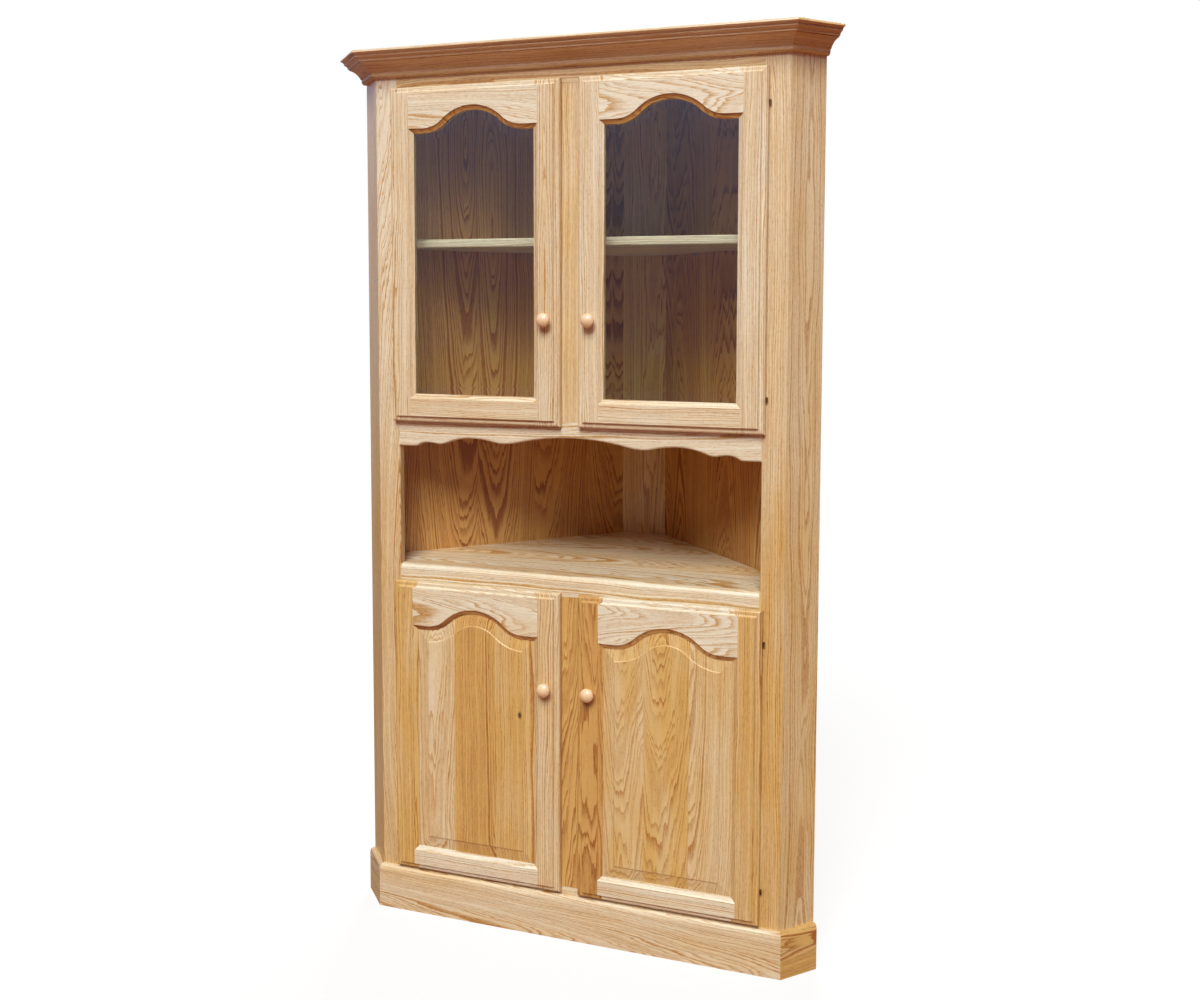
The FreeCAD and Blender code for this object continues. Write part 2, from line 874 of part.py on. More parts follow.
def door_leaf(z):
    """Leaf on the back of the door, with the middle knuckle."""
    t = hinge_leaf_thickness
    half = hinge_leaf_height / 2
    z0, z1 = knuckle_parts(z)[1]
    y1 = back_y + t
    plate = box(door_outer - hinge_door_leaf_width, door_outer, back_y, y1, z - half, z + half)
    tab = box(door_outer, hinge_axis_x + hinge_arm_outer, back_y, y1, z0, z1)
    knuckle = barrel(hinge_barrel_radius, z0, z1).fuse(arm(z0, z1, y1))
    bore = barrel(hinge_pin_radius + hinge_pin_clearance, z0 - overrun, z1 + overrun)
    return plate.fuse([tab, knuckle]).cut(bore).removeSplitter()


def screw_slot(head_seat, direction):
    """Waste of the crossed slot in a screw head."""
    side = direction.cross(EZ)
    start = head_seat - direction * (screw_head_height + overrun)
    travel = direction * (overrun + screw_slot_depth)
    long, wide = screw_slot_reach, screw_slot_half
    path = [(-long, -wide), (long, -wide), (long, wide), (-long, wide)]
    pairs = ((EZ, side), (side, EZ))
    return [Part.Face(section(path, start, u, v)).extrude(travel) for u, v in pairs]


def screw(head_seat, direction, grow):
    """Screw with a domed head, or with grow the hole that it fills."""
    shank_start = head_seat - direction * grow
    shank = cylinder(screw_radius + grow, shank_start, direction, screw_length + 2 * grow)
    if grow:
        return shank
    edge = (screw_head_radius, 0)
    path = [(0, 0), edge, domed(edge, screw_head_height)]
    head = Part.Face(section(path, head_seat, EZ, -direction)).revolve(head_seat, direction, 360)
    return head.fuse(shank).cut(screw_slot(head_seat, direction)).removeSplitter()


def frame_screws(z, grow):
    """Two screws through the wrapped leaf into the edge of the stile."""
    seat_x = opening_outer - hinge_leaf_thickness
    rises = (-hinge_screw_spacing / 2, hinge_screw_spacing / 2)
    return [screw(Vector(seat_x, hinge_wrap_screw_depth, z + rise), EX, grow) for rise in rises]


def door_screws(z, grow):
    """Two screws through the leaf into the back of the door."""
    x = door_outer - hinge_door_screw_inset
    seat_y = back_y + hinge_leaf_thickness
    rises = (-hinge_screw_spacing / 2, hinge_screw_spacing / 2)
    return [screw(Vector(x, seat_y, z + rise), -EY, grow) for rise in rises]


def door_hardware(door):
    """The two leaves of a door, each with its two screws."""
    pieces = []
    for z in hinge_heights(door):
        pieces.append(door_leaf(z).cut(door_screws(z, screw_clearance)))
        pieces += door_screws(z, 0)
    return Part.makeCompound(pieces)


def door_parts(door, upper):
    """All pieces of one right-hand door, by the last part of their names."""
    hinge_side = door_stile(door, door_middle + half_sight, 1, upper)
    latch_side = door_stile(door, door_middle - half_sight, -1, upper)
    stiles = [hinge_side, latch_side]
    z = knob_height(door, upper)
    holes = [hole for h in hinge_heights(door) for hole in door_screws(h, screw_clearance)]
    parts = {
        "hinge_stile": hinge_side.cut(holes),
        "latch_stile": latch_side.cut(knob_hole(z)),
        "arched_rail": top_rail(door, stiles, upper),
        "bottom_rail": bottom_rail(door, stiles, upper),
        "knob": knob(z),
        "hinge_leaves": door_hardware(door),
    }
    if upper:
        parts["glass"] = glass_pane(door)
        parts["glass_stops"] = glass_stops(door)
    else:
        parts["raised_panel"] = raised_panel(door)
    return parts


# Small pieces of the case
def case_hinge_leaves(doors):
    leaves = [
        frame_leaf(z).cut(frame_screws(z, screw_clearance)) for door in doors for z in hinge_heights(door)
    ]
    return Part.makeCompound(leaves + [mirrored(leaf) for leaf in leaves])


def case_hinge_screws(doors):
    screws = [piece for door in doors for z in hinge_heights(door) for piece in frame_screws(z, 0)]
    return Part.makeCompound(screws + [mirrored(piece) for piece in screws])


def door_bumpers(doors):
    """Soft dots on the mullions, behind the upper and lower latch corners."""
    x = opening_inner - bumper_radius
    start = [Vector(x, 0, z) for door in doors for z in (door.z0 + bumper_inset, door.z1 - bumper_inset)]
    dots = [cylinder(bumper_radius, place, -EY, bumper_thickness) for place in start]
    return Part.makeCompound(dots + [mirrored(dot) for dot in dots])


def glue_blocks():
    """Blocks in the angle between the bottom rail and the base floor."""
    top = base_floor_top - board_thickness
    y1 = frame_thickness + block_size
    blocks = [
        box(x - block_length / 2, x + block_length / 2, frame_thickness, y1, top - block_size, top)
        for x in (-block_spread, 0, block_spread)
    ]
    return Part.makeCompound(blocks)


lower_door = Door(base_floor_top, lower_top, lower_bottom_rail, lower_crown_rail)
upper_door = Door(display_floor_top, upper_top, upper_bottom_rail, upper_crown_rail)
doors = [lower_door, upper_door]

base_shelf_top = base_floor_top + base_shelf_height + board_thickness
display_shelf_top = display_floor_top + display_shelf_height + board_thickness
shelf_tops = [base_shelf_top, display_shelf_top]

# Level boards
boards = {
    "base_floor": fixed_board(base_floor_top),
    "deck_board": fixed_board(deck_top),
    "display_floor": fixed_board(display_floor_top),
    "top_board": fixed_board(height),
}
let_in = list(boards.values())
boards["base_shelf"] = loose_shelf(base_shelf_top)
boards["display_shelf"] = loose_shelf(display_shelf_top)

# Face frame
rail_spans = [
    (bottom_rail_foot, base_floor_top),
    (lower_top, deck_top),
    (valance_low, display_floor_top),
    (upper_top, height),
]
mortises = [end_tenon(z0, z1, mortise_clearance) for z0, z1 in rail_spans]
hinge_places = [z for door in doors for z in hinge_heights(door)]
screw_holes = [hole for z in hinge_places for hole in frame_screws(z, screw_clearance)]
lower_mortise = mullion_mortise(base_floor_top, lower_top)
upper_mortise = mullion_mortise(display_floor_top, upper_top)
right_stile = stile_blank().cut(mortises + screw_holes + [bay_edge_waste()])
frame = {
    "right_stile": right_stile,
    "left_stile": mirrored(right_stile),
    "bottom_rail": rail(bottom_rail_foot, base_floor_top).cut(lower_mortise),
    "deck_rail": deck_rail().cut(lower_mortise),
    "valance_rail": valance_rail().cut(upper_mortise),
    "top_rail": rail(upper_top, height).cut(upper_mortise),
    "lower_mullion": mullion(base_floor_top, lower_top),
    "upper_mullion": mullion(display_floor_top, upper_top),
}

# Returns and wall panels, with dados for the boards and holes for the pins
right_return = return_blank().cut(let_in)
right_wall = wall_blank().cut(let_in + pin_holes(shelf_tops))
walls = {
    "right_return": right_return,
    "left_return": mirrored(right_return),
    "right_wall_panel": right_wall,
    "left_wall_panel": mirrored(right_wall),
    "corner_panel": corner_blank().cut(let_in),
}

# Mouldings
crown_front, crown_right = moulding(crown_path(), crown_projection, height - crown_height, height)
plinth_front, plinth_right = moulding(plinth_path(), plinth_thickness, 0, plinth_height)
mouldings = {
    "crown_front": crown_front,
    "crown_right": crown_right,
    "crown_left": mirrored(crown_right),
    "plinth_front": plinth_front,
    "plinth_right": plinth_right,
    "plinth_left": mirrored(plinth_right),
}

fittings = {
    "shelf_pins": all_pins(shelf_tops),
    "case_hinge_leaves": case_hinge_leaves(doors),
    "case_hinge_screws": case_hinge_screws(doors),
    "door_bumpers": door_bumpers(doors),
    "glue_blocks": glue_blocks(),
}

for group in (boards, frame, walls, mouldings, fittings):
    for name, shape in group.items():
        write(name, shape)

for level, door in (("lower", lower_door), ("upper", upper_door)):
    for name, shape in door_parts(door, door is upper_door).items():
        write(level + "_right_" + name, shape)
        write(level + "_left_" + name, mirrored(shape))
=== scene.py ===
# %% [markdown]
# # A corner hutch in varnished oak
# This lesson dresses a corner hutch: glazed doors above, an open bay in the middle, raised-panel doors
# below. The joinery arrives finished as solids, one per board, so most of the work here is the wood.
# Every board gets its own place in its own tree, because that is what makes real joinery look real: the
# grain turns at each joint, and no two boards match.

# %% Load the joinery
import math
import random

import bpy
import numpy as np
from mathutils import Matrix, Vector


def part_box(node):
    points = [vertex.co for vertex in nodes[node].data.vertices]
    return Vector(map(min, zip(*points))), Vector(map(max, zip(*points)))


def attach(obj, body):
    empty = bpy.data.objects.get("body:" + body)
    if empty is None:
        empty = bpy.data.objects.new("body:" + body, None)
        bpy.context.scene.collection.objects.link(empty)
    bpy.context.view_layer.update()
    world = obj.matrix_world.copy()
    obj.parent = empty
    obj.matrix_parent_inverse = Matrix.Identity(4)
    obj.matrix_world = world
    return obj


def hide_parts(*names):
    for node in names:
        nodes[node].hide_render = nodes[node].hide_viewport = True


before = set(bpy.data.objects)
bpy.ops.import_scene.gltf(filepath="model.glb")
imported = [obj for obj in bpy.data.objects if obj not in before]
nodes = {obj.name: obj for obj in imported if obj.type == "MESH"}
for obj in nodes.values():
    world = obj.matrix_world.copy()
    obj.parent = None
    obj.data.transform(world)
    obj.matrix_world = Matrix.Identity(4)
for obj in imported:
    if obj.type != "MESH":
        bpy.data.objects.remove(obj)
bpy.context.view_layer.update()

print("boards and fittings:", len(nodes))

# %% [markdown]
# ## Three small tools
# Colours are written as they are read off a swatch, in sRGB hex, and the shader wants them linear.
# A node tree is easier to read when each node is one line, so one function adds a node, sets its
# properties and connects its inputs. An input may be a number, another node's socket or a whole node,
# which then means that node's first output. The third tool starts an empty material.

# %% Colour and node helpers
def linear(hex_colour):
    """sRGB hex to linear RGBA: c / 12.92 up to 0.04045, else ((c + 0.055) / 1.055) ** 2.4."""
    channels = [int(hex_colour[i:i + 2], 16) / 255 for i in (1, 3, 5)]
    return tuple(c / 12.92 if c <= 0.04045 else ((c + 0.055) / 1.055) ** 2.4 for c in channels) + (1.0,)


def add(tree, kind, inputs=None, **settings):
    """Adds one node to a tree, sets its properties, and fills or connects its inputs."""
    made = tree.nodes.new(kind)
    for name, value in settings.items():
        setattr(made, name, value)
    for key, value in (inputs or {}).items():
        if isinstance(value, bpy.types.Node):
            value = value.outputs[0]
        if isinstance(value, bpy.types.NodeSocket):
            tree.links.new(value, made.inputs[key])
        else:
            made.inputs[key].default_value = value
    return made


def new_material(name):
    """An empty material and its node tree."""
    made = bpy.data.materials.new(name)
    made.use_nodes = True
    made.node_tree.nodes.clear()
    return made, made.node_tree


print("a middle grey swatch in linear light:", round(linear("#808080")[0], 3))

# %% [markdown]
# ## Kinds of node and their sockets
# The kinds that come up again and again get a short name. Many sockets share a name, so they are counted
# from 0 instead. A Map Range takes its value at 0, and turns the range from A to B that it reads into the
# range from A to B that it gives. A Mix takes the share of B at 0. Its colours come in at 6 and 7 and
# leave at 2, and its plain numbers come in at 2 and 3.

# %% Short names
MATH, VECTOR_MATH = "ShaderNodeMath", "ShaderNodeVectorMath"
MAP_RANGE, MIX = "ShaderNodeMapRange", "ShaderNodeMix"
NOISE, WHITE_NOISE = "ShaderNodeTexNoise", "ShaderNodeTexWhiteNoise"
COORDINATES, SEPARATE, COMBINE = "ShaderNodeTexCoord", "ShaderNodeSeparateXYZ", "ShaderNodeCombineXYZ"
SURFACE, OUTPUT, MIX_SHADER = "ShaderNodeBsdfPrincipled", "ShaderNodeOutputMaterial", "ShaderNodeMixShader"
FROM_A, FROM_B, TO_A, TO_B = 1, 2, 3, 4
COLOUR_A, COLOUR_B, MIXED = 6, 7, 2
NUMBER_A, NUMBER_B = 2, 3
X, Y, Z = 0, 1, 2
MM_PER_M = 1000
print("a colour Mix reads", COLOUR_A, "and", COLOUR_B, "and gives", MIXED)

# %% [markdown]
# ## Oak, cut from a log
# Red oak is ring-porous. Each year starts with a band of wide open pores, which takes the finish dark,
# and ends with dense smooth wood, which stays light. A tree's rings are tubes round its heart, so the
# figure of a board is where its faces cut those tubes. A board that passes near the heart at a slight
# slant shows nested arches, and one cut further out shows straight lines. An image would repeat and
# stop at the edges. Here the rings are computed in the solid, so each face, end and moulding shows its
# own true cut.
#
# The work is done in millimetres in the board's own directions: x across its face, y through its
# thickness and z along its grain. Six patterns of noise bend the rings and colour them. Each has its real
# size and is longest along the grain, as everything in wood is.

# %% Sizes and colours of the wood
# Across the face, through the thickness and along the grain in mm, and the layers of finer detail.
# Real pores are 0.3 mm wide. They are drawn 0.9 mm wide so that they show from a few steps away.
# Bundles of pores read as dashes, two millimetres wide.
PATTERNS = {
    "swirl": ((80.0, 80.0, 420.0), 2.0),
    "ripple": ((13.0, 13.0, 260.0), 2.0),
    "pore": ((0.9, 0.9, 9.0), 1.0),
    "dash": ((1.9, 1.9, 17.0), 1.0),
    "streak": ((2.6, 2.6, 110.0), 2.0),
    "mottle": ((45.0, 45.0, 260.0), 2.0),
}
# Late and early wood of a pale board, a golden one and a russet one
OAK_LATE = ("#EDE4CD", "#DEB66C", "#C88A4A")
OAK_EARLY = ("#CDA05C", "#B26E28", "#86441C")
OAK_PORE = "#6A4020"
print("patterns in the wood:", ", ".join(PATTERNS))

# %% [markdown]
# ## A group that is the wood
# The wood is one node group, so each board's material is that group with the board's own numbers.
# Place is the point in the board, Heart is where the middle of the tree lies, and Seed moves the board to
# its own part of the noise. Strip is the width of its glued strips, and Spread is how far their tones
# differ. Rake is how far the heart leans for each mm along the grain, Ring is the width of a ring, and
# Swirl is how far the rings wander. Figure is how strongly they show. Tone runs from 0, pale, over 1,
# golden, to 2, russet.

# %% The group and its sockets
wood = bpy.data.node_groups.new("red_oak_rings", "ShaderNodeTree")
wood_sockets = (
    ("INPUT", "NodeSocketVector", ("Place", "Heart", "Seed")),
    ("INPUT", "NodeSocketFloat", ("Strip", "Spread", "Rake", "Ring", "Swirl", "Figure", "Tone")),
    ("OUTPUT", "NodeSocketColor", ("Color",)),
    ("OUTPUT", "NodeSocketFloat", ("Roughness", "Height")),
)
for way, kind, names in wood_sockets:
    for name in names:
        wood.interface.new_socket(name, in_out=way, socket_type=kind)
given = add(wood, "NodeGroupInput").outputs
print("sockets of the wood:", len(wood.interface.items_tree))

# %% [markdown]
# ## Strips, each with a ticket
# A wide board is glued up from narrow ones that come from different places in the log. The strips could
# be separate solids, but their glue lines are too fine to see, so they are drawn. A strip has a number,
# counted from the middle of the board, and the number draws a ticket in a lottery. The ticket shifts the
# strip beside the heart, takes it far away in the noise, and later makes it paler or more golden.

# %% Strips and their lottery
STRIP_SHIFT_MM = (120.0, 60.0, 0.0)
STRIP_FAR_MM = (900.0, 700.0, 1300.0)
# Tickets and noises lie between 0 and 1, so this is what centres them on 0
CENTRE = 0.5

# The number of the nearest strip: half a strip more, rounded down
across = add(wood, SEPARATE, {0: given["Place"]}).outputs[X]
strip = add(wood, MATH, {0: across, 1: given["Strip"]}, operation="DIVIDE")
strip = add(wood, MATH, {0: strip, 1: 0.5}, operation="ADD")
strip = add(wood, MATH, {0: strip}, operation="FLOOR")
number = add(wood, COMBINE, {X: strip})
number = add(wood, VECTOR_MATH, {0: number, 1: given["Seed"]}, operation="ADD")
ticket = add(wood, WHITE_NOISE, {"Vector": number}, noise_dimensions="3D").outputs["Color"]
luck = add(wood, VECTOR_MATH, {0: ticket, 1: (CENTRE, CENTRE, CENTRE)}, operation="SUBTRACT")

middle = add(wood, MATH, {0: strip, 1: given["Strip"]}, operation="MULTIPLY")
middle = add(wood, COMBINE, {X: middle})
local = add(wood, VECTOR_MATH, {0: given["Place"], 1: middle}, operation="SUBTRACT")
shift = add(wood, VECTOR_MATH, {0: luck, 1: STRIP_SHIFT_MM}, operation="MULTIPLY")
place = add(wood, VECTOR_MATH, {0: local, 1: shift}, operation="ADD")
far = add(wood, VECTOR_MATH, {0: ticket, 1: STRIP_FAR_MM}, operation="MULTIPLY")
field = add(wood, VECTOR_MATH, {0: place, 1: far}, operation="ADD")
field = add(wood, VECTOR_MATH, {0: field, 1: given["Seed"]}, operation="ADD")
print("nodes for the strips:", len(wood.nodes))

# %% [markdown]
# ## Counting the rings
# A ring is where the distance from the heart is the same, and the heart leans through the board by its
# rake. Real rings aren't true circles, so a slow swirl and a fine ripple are added to the distance. The
# result, divided by the width of a ring, counts the rings. Wet years grow wider than dry ones, so a
# noise that runs along the count pushes it ahead and holds it back.

# %% Distance from the heart, and the count
RIPPLE_HEIGHT_MM = 7.0
# How often the width of the years changes, for each ring, and by how many rings the count moves
YEARS_CHANGE, YEARS_MOVE = 0.37, 3.4

noises = {}
for name, (size_mm, layers) in PATTERNS.items():
    scaled = add(wood, VECTOR_MATH, {0: field, 1: size_mm}, operation="DIVIDE")
    noises[name] = add(wood, NOISE, {"Vector": scaled, "Scale": 1.0, "Detail": layers})
from_heart = add(wood, VECTOR_MATH, {0: place, 1: given["Heart"]}, operation="SUBTRACT")
from_heart = add(wood, SEPARATE, {0: from_heart}).outputs
lean = add(wood, MATH, {0: from_heart[Z], 1: given["Rake"], 2: from_heart[Y]}, operation="MULTIPLY_ADD")
plan = add(wood, COMBINE, {X: from_heart[X], Y: lean})
radius = add(wood, VECTOR_MATH, {0: plan}, operation="LENGTH").outputs["Value"]

swirl = add(wood, MATH, {0: noises["swirl"], 1: -CENTRE}, operation="ADD")
swirl = add(wood, MATH, {0: swirl, 1: given["Swirl"], 2: radius}, operation="MULTIPLY_ADD")
ripple = add(wood, MATH, {0: noises["ripple"], 1: RIPPLE_HEIGHT_MM, 2: swirl}, operation="MULTIPLY_ADD")
count = add(wood, MATH, {0: ripple, 1: given["Ring"]}, operation="DIVIDE")
uneven = add(wood, NOISE, {"W": count, "Scale": YEARS_CHANGE, "Detail": 1.0}, noise_dimensions="1D")
count = add(wood, MATH, {0: uneven, 1: YEARS_MOVE, 2: count}, operation="MULTIPLY_ADD")
print("nodes up to the count of the rings:", len(wood.nodes))

# %% [markdown]
# ## Seasons and pores
# What is left of the count after its whole years is the season. Early wood starts at once, is full
# after a fourteenth of the year, and fades out past the middle of it. Some years are vigorous and some
# are faint. Pores crowd into the early wood, and a few are left for the late wood. Two noises make them:
# a fine one for single pores, and a coarser one for the dashes that bundles of them draw.

# %% Early wood and pores
EARLY_FULL, EARLY_GONE = 0.07, 0.62
VIGOUR_SPREAD, VIGOUR_LEAST = 0.7, 0.5
CROWD_EARLY, CROWD_LATE = 0.56, 0.25
# Below the first value of the noise there is plain wood, and above the second one there is a pore
PORE_EDGE = {"pore": (0.52, 0.66), "dash": (0.5, 0.64)}

season = add(wood, MATH, {0: count}, operation="FRACT")
start = add(wood, MAP_RANGE, {0: season, FROM_A: 0.0, FROM_B: EARLY_FULL}, interpolation_type="SMOOTHSTEP")
fade = add(wood, MAP_RANGE, {0: season, FROM_A: EARLY_FULL, FROM_B: EARLY_GONE, TO_A: 1.0, TO_B: 0.0},
           interpolation_type="SMOOTHSTEP")
early = add(wood, MATH, {0: start, 1: fade}, operation="MULTIPLY")
year = add(wood, MATH, {0: count}, operation="FLOOR")
year = add(wood, WHITE_NOISE, {"W": year}, noise_dimensions="1D")
vigour = add(wood, MATH, {0: year, 1: VIGOUR_SPREAD, 2: VIGOUR_LEAST}, operation="MULTIPLY_ADD")
early = add(wood, MATH, {0: early, 1: vigour}, operation="MULTIPLY")

crowd = add(wood, MATH, {0: early, 1: CROWD_EARLY, 2: CROWD_LATE}, operation="MULTIPLY_ADD")
holes = {}
for name, (plain, open_wood) in PORE_EDGE.items():
    hole = add(wood, MAP_RANGE, {0: noises[name], FROM_A: plain, FROM_B: open_wood},
               interpolation_type="SMOOTHSTEP")
    holes[name] = add(wood, MATH, {0: hole, 1: crowd}, operation="MULTIPLY")
print("nodes up to the pores:", len(wood.nodes))

# %% [markdown]
# ## Colour, gloss and relief
# Two ramps hold the colours of late and of early wood, from pale over golden to russet. The tone picks a
# place on both: the board's own tone, its strip's luck, and a mottle of slow changes along the grain.
# The season and the dashes then mix the early colour into the late one. Streaks a few mm wide lighten
# and darken it, and single pores take the dark stain. The varnish is satin, duller over pores, and
# it follows the pores and the soft early wood down, because there are only two thin coats of it.

# %% What the wood shows
# Tones run from 0 to 2 and a ramp from 0 to 1, with golden in its middle
MOTTLE_TONE, TONE_TO_RAMP, GOLDEN_STOP = 0.9, 0.5, 0.5
DASH_SHARE, PORE_DARKNESS = 0.6, 0.55
STREAK_NOISE, STREAK_LIGHT = (0.25, 0.75), (0.91, 1.07)
VARNISH_ROUGHNESS, MOTTLE_DULLS, PORE_DULLS = 0.38, 0.25, 0.24
EARLY_HEIGHT, PORE_HEIGHT = -0.22, -1.0

tone = add(wood, SEPARATE, {0: luck}).outputs[Z]
tone = add(wood, MATH, {0: tone, 1: given["Spread"], 2: given["Tone"]}, operation="MULTIPLY_ADD")
mottle = add(wood, MATH, {0: noises["mottle"], 1: -CENTRE}, operation="ADD")
tone = add(wood, MATH, {0: mottle, 1: MOTTLE_TONE, 2: tone}, operation="MULTIPLY_ADD")
tone = add(wood, MATH, {0: tone, 1: TONE_TO_RAMP}, operation="MULTIPLY", use_clamp=True)
ramps = []
for colours in (OAK_LATE, OAK_EARLY):
    ramp = add(wood, "ShaderNodeValToRGB", {0: tone})
    ramp.color_ramp.elements.new(GOLDEN_STOP)
    for stop, colour in zip(ramp.color_ramp.elements, colours):
        stop.color = linear(colour)
    ramps.append(ramp)
late_ramp, early_ramp = ramps

dark = add(wood, MATH, {0: holes["dash"], 1: DASH_SHARE, 2: early}, operation="MULTIPLY_ADD")
dark = add(wood, MATH, {0: dark, 1: given["Figure"]}, operation="MULTIPLY", use_clamp=True)
colour = add(wood, MIX, {0: dark, COLOUR_A: late_ramp, COLOUR_B: early_ramp}, data_type="RGBA")
streak = add(wood, MAP_RANGE, {
    0: noises["streak"], FROM_A: STREAK_NOISE[0], FROM_B: STREAK_NOISE[1],
    TO_A: STREAK_LIGHT[0], TO_B: STREAK_LIGHT[1],
})
colour = add(wood, VECTOR_MATH, {0: colour.outputs[MIXED], "Scale": streak}, operation="SCALE")
in_pore = add(wood, MATH, {0: holes["pore"], 1: PORE_DARKNESS}, operation="MULTIPLY")
colour = add(wood, MIX, {0: in_pore, COLOUR_A: colour, COLOUR_B: linear(OAK_PORE)}, data_type="RGBA")

gloss = add(wood, MATH, {0: mottle, 1: MOTTLE_DULLS, 2: VARNISH_ROUGHNESS}, operation="MULTIPLY_ADD")
gloss = add(wood, MATH, {0: holes["pore"], 1: PORE_DULLS, 2: gloss}, operation="MULTIPLY_ADD")
relief = add(wood, MATH, {0: holes["pore"], 1: PORE_HEIGHT}, operation="MULTIPLY")
relief = add(wood, MATH, {0: early, 1: EARLY_HEIGHT, 2: relief}, operation="MULTIPLY_ADD")
add(wood, "NodeGroupOutput", {"Color": colour.outputs[MIXED], "Roughness": gloss, "Height": relief})
print("nodes in the wood:", len(wood.nodes))

# %% [markdown]
# ## Which way a board lies
# The grain of a rail runs across the hutch, that of a stile runs up, and the returns and wall panels stand
# at 45 degrees. For each of these a board needs three directions, and its place in mm is the dot product
# with each of them, counted from the middle of its box. Turning texture coordinates by angles could do
# this too, but three directions in a row are easier to check against the hutch.

# %% Directions of the grain
HALF = math.sqrt(0.5)
UP, ACROSS, BACK = (0, 0, 1), (1, 0, 0), (0, 1, 0)
RIGHT_BACK, LEFT_BACK = (HALF, HALF, 0), (-HALF, HALF, 0)
# For each way that a board lies: across its face, through its thickness, and along its grain
LIE = {
    "upright": (ACROSS, BACK, UP),
    "rail": (UP, BACK, ACROSS),
    "level": (BACK, UP, ACROSS),
    "upright_right_return": (RIGHT_BACK, LEFT_BACK, UP),
    "upright_left_return": (LEFT_BACK, RIGHT_BACK, UP),
    "rail_right_return": (UP, LEFT_BACK, RIGHT_BACK),
    "rail_left_return": (UP, RIGHT_BACK, LEFT_BACK),
    "upright_right_wall": (LEFT_BACK, RIGHT_BACK, UP),
    "upright_left_wall": (RIGHT_BACK, LEFT_BACK, UP),
}


def place_in_board(tree, name, coords, lie):
    """Across, through and along the board in mm: (point - middle of its box) . direction, three times."""
    low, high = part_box(name)
    local = add(tree, VECTOR_MATH, {0: coords, 1: tuple((low + high) / 2)}, operation="SUBTRACT")
    parts = []
    for way in LIE[lie]:
        way_mm = tuple(MM_PER_M * c for c in way)
        part = add(tree, VECTOR_MATH, {0: local, 1: way_mm}, operation="DOT_PRODUCT")
        parts.append(part.outputs["Value"])
    return parts


print("ways that a board lies:", len(LIE))

# %% [markdown]
# ## Where a board lay in its log
# A rift-cut board lay to the side of the heart and shows close straight lines, and a flat-cut one lay over
# it and shows arches. Within these bounds the place is drawn by lot. The lottery is seeded with the
# board's own name, so every run gives the same hutch.

# %% The lottery of the log
# Where the heart lies beside and behind the board's middle, in mm, and how far it leans
CUTS = {
    "rift": ((45, 95), (30, 65), (0.006, 0.02)),
    "flat": ((0, 22), (40, 85), (0.05, 0.1)),
}
SEED_REACH_MM = 4000


def either_side(lot, span):
    """A number from a span, on either side of zero."""
    return lot.choice((-1, 1)) * lot.uniform(*span)


def place_in_log(name, cut, draw):
    """The heart, the rake and the seed of one board, always drawn in this order."""
    lot = random.Random(f"{name} {draw}")
    beside, behind, leans = CUTS[cut]
    heart = (either_side(lot, beside), either_side(lot, behind), 0.0)
    rake = either_side(lot, leans)
    seed = tuple(lot.uniform(-SEED_REACH_MM, SEED_REACH_MM) for _ in range(3))
    return {"Heart": heart, "Rake": rake, "Seed": seed}


print("the deck board in its log:", place_in_log("deck_board", "flat", 0))

# %% [markdown]
# ## Painted sheen by height, and painted shade under an arch
# The uprights of this hutch look more golden near the floor and paler higher up, where they catch more
# sheen from above, so a board may be painted warmer low down: a painted sheen. The edge under an arch
# faces down and lies in shade, and that shade is painted into its colour, darker than the faces. Only
# that edge may darken, so it is found by two distances: it lies inside the two faces, and below the
# straight top of the rail.

# %% Painted sheen by height, and painted shade under an arch
WARM_FULL_M, WARM_GONE_M = 0.75, 1.35
HALF_BOARD_MM, FACE_MARGIN_MM = 9.5, (0.3, 0.7)
# Painted shade on the edge under an arch: how many tones darker it is, and over how many mm it fades out
ARCH_SHADE_TONE, ARCH_SHADE_FADE_MM = 1.6, 4.0


def tone_by_height(tree, coords, tone, warm):
    """tone + warm low down and tone high up, with a smooth step between two heights."""
    # Painted sheen: the tone stays paler high up, where the boards catch more gloss from above
    height = add(tree, SEPARATE, {0: coords}).outputs[Z]
    return add(tree, MAP_RANGE, {
        0: height, FROM_A: WARM_FULL_M, FROM_B: WARM_GONE_M, TO_A: tone + warm, TO_B: tone,
    }, interpolation_type="SMOOTHSTEP")


def painted_arch_shade_tone(tree, tone, parts, straight_mm):
    """tone + painted shade: between the faces (0 to 1) * below the straight top of the rail (0 to the shade's
    tone).
    """
    depth = add(tree, MATH, {0: parts[Y]}, operation="ABSOLUTE")
    between = add(tree, MAP_RANGE, {
        0: depth, FROM_A: HALF_BOARD_MM - FACE_MARGIN_MM[0], FROM_B: HALF_BOARD_MM - FACE_MARGIN_MM[1],
        TO_A: 0.0, TO_B: 1.0,
    })
    below = add(tree, MAP_RANGE, {
        0: parts[X], FROM_A: straight_mm + ARCH_SHADE_FADE_MM, FROM_B: straight_mm,
        TO_A: 0.0, TO_B: ARCH_SHADE_TONE,
    })
    shade_on_edge = add(tree, MATH, {0: between, 1: below}, operation="MULTIPLY")
    return add(tree, MATH, {0: tone, 1: shade_on_edge}, operation="ADD")


print("warm up to", WARM_FULL_M, "m, and no more from", WARM_GONE_M, "m")

# %% [markdown]
# ## A pin knot, and sides that nobody varnished
# One panel has a pin knot, a dark oval where a twig once grew, which fades into the wood round it. The
# backs of the wall panels and the top of the hutch face a wall or the ceiling, and makers leave such
# sides bare: paler, duller and without a coat. One board then shows two finishes, so the change is made
# inside its material, at a depth through the board.

# %% Knot and bare side
KNOT_HALF_MM, KNOT_COLOUR = (3.6, 6.2), "#4E2A14"
# Full up to the first share of the half sizes, and gone at the second
KNOT_EDGE, KNOT_DARKNESS = (0.6, 1.7), 0.92
BARE_OAK, BARE_SHARE, BARE_ROUGHNESS, BARE_EDGE_MM = "#DCC6A2", 0.7, 0.72, 0.5
COAT_WEIGHT, COAT_ROUGHNESS = 0.35, 0.22


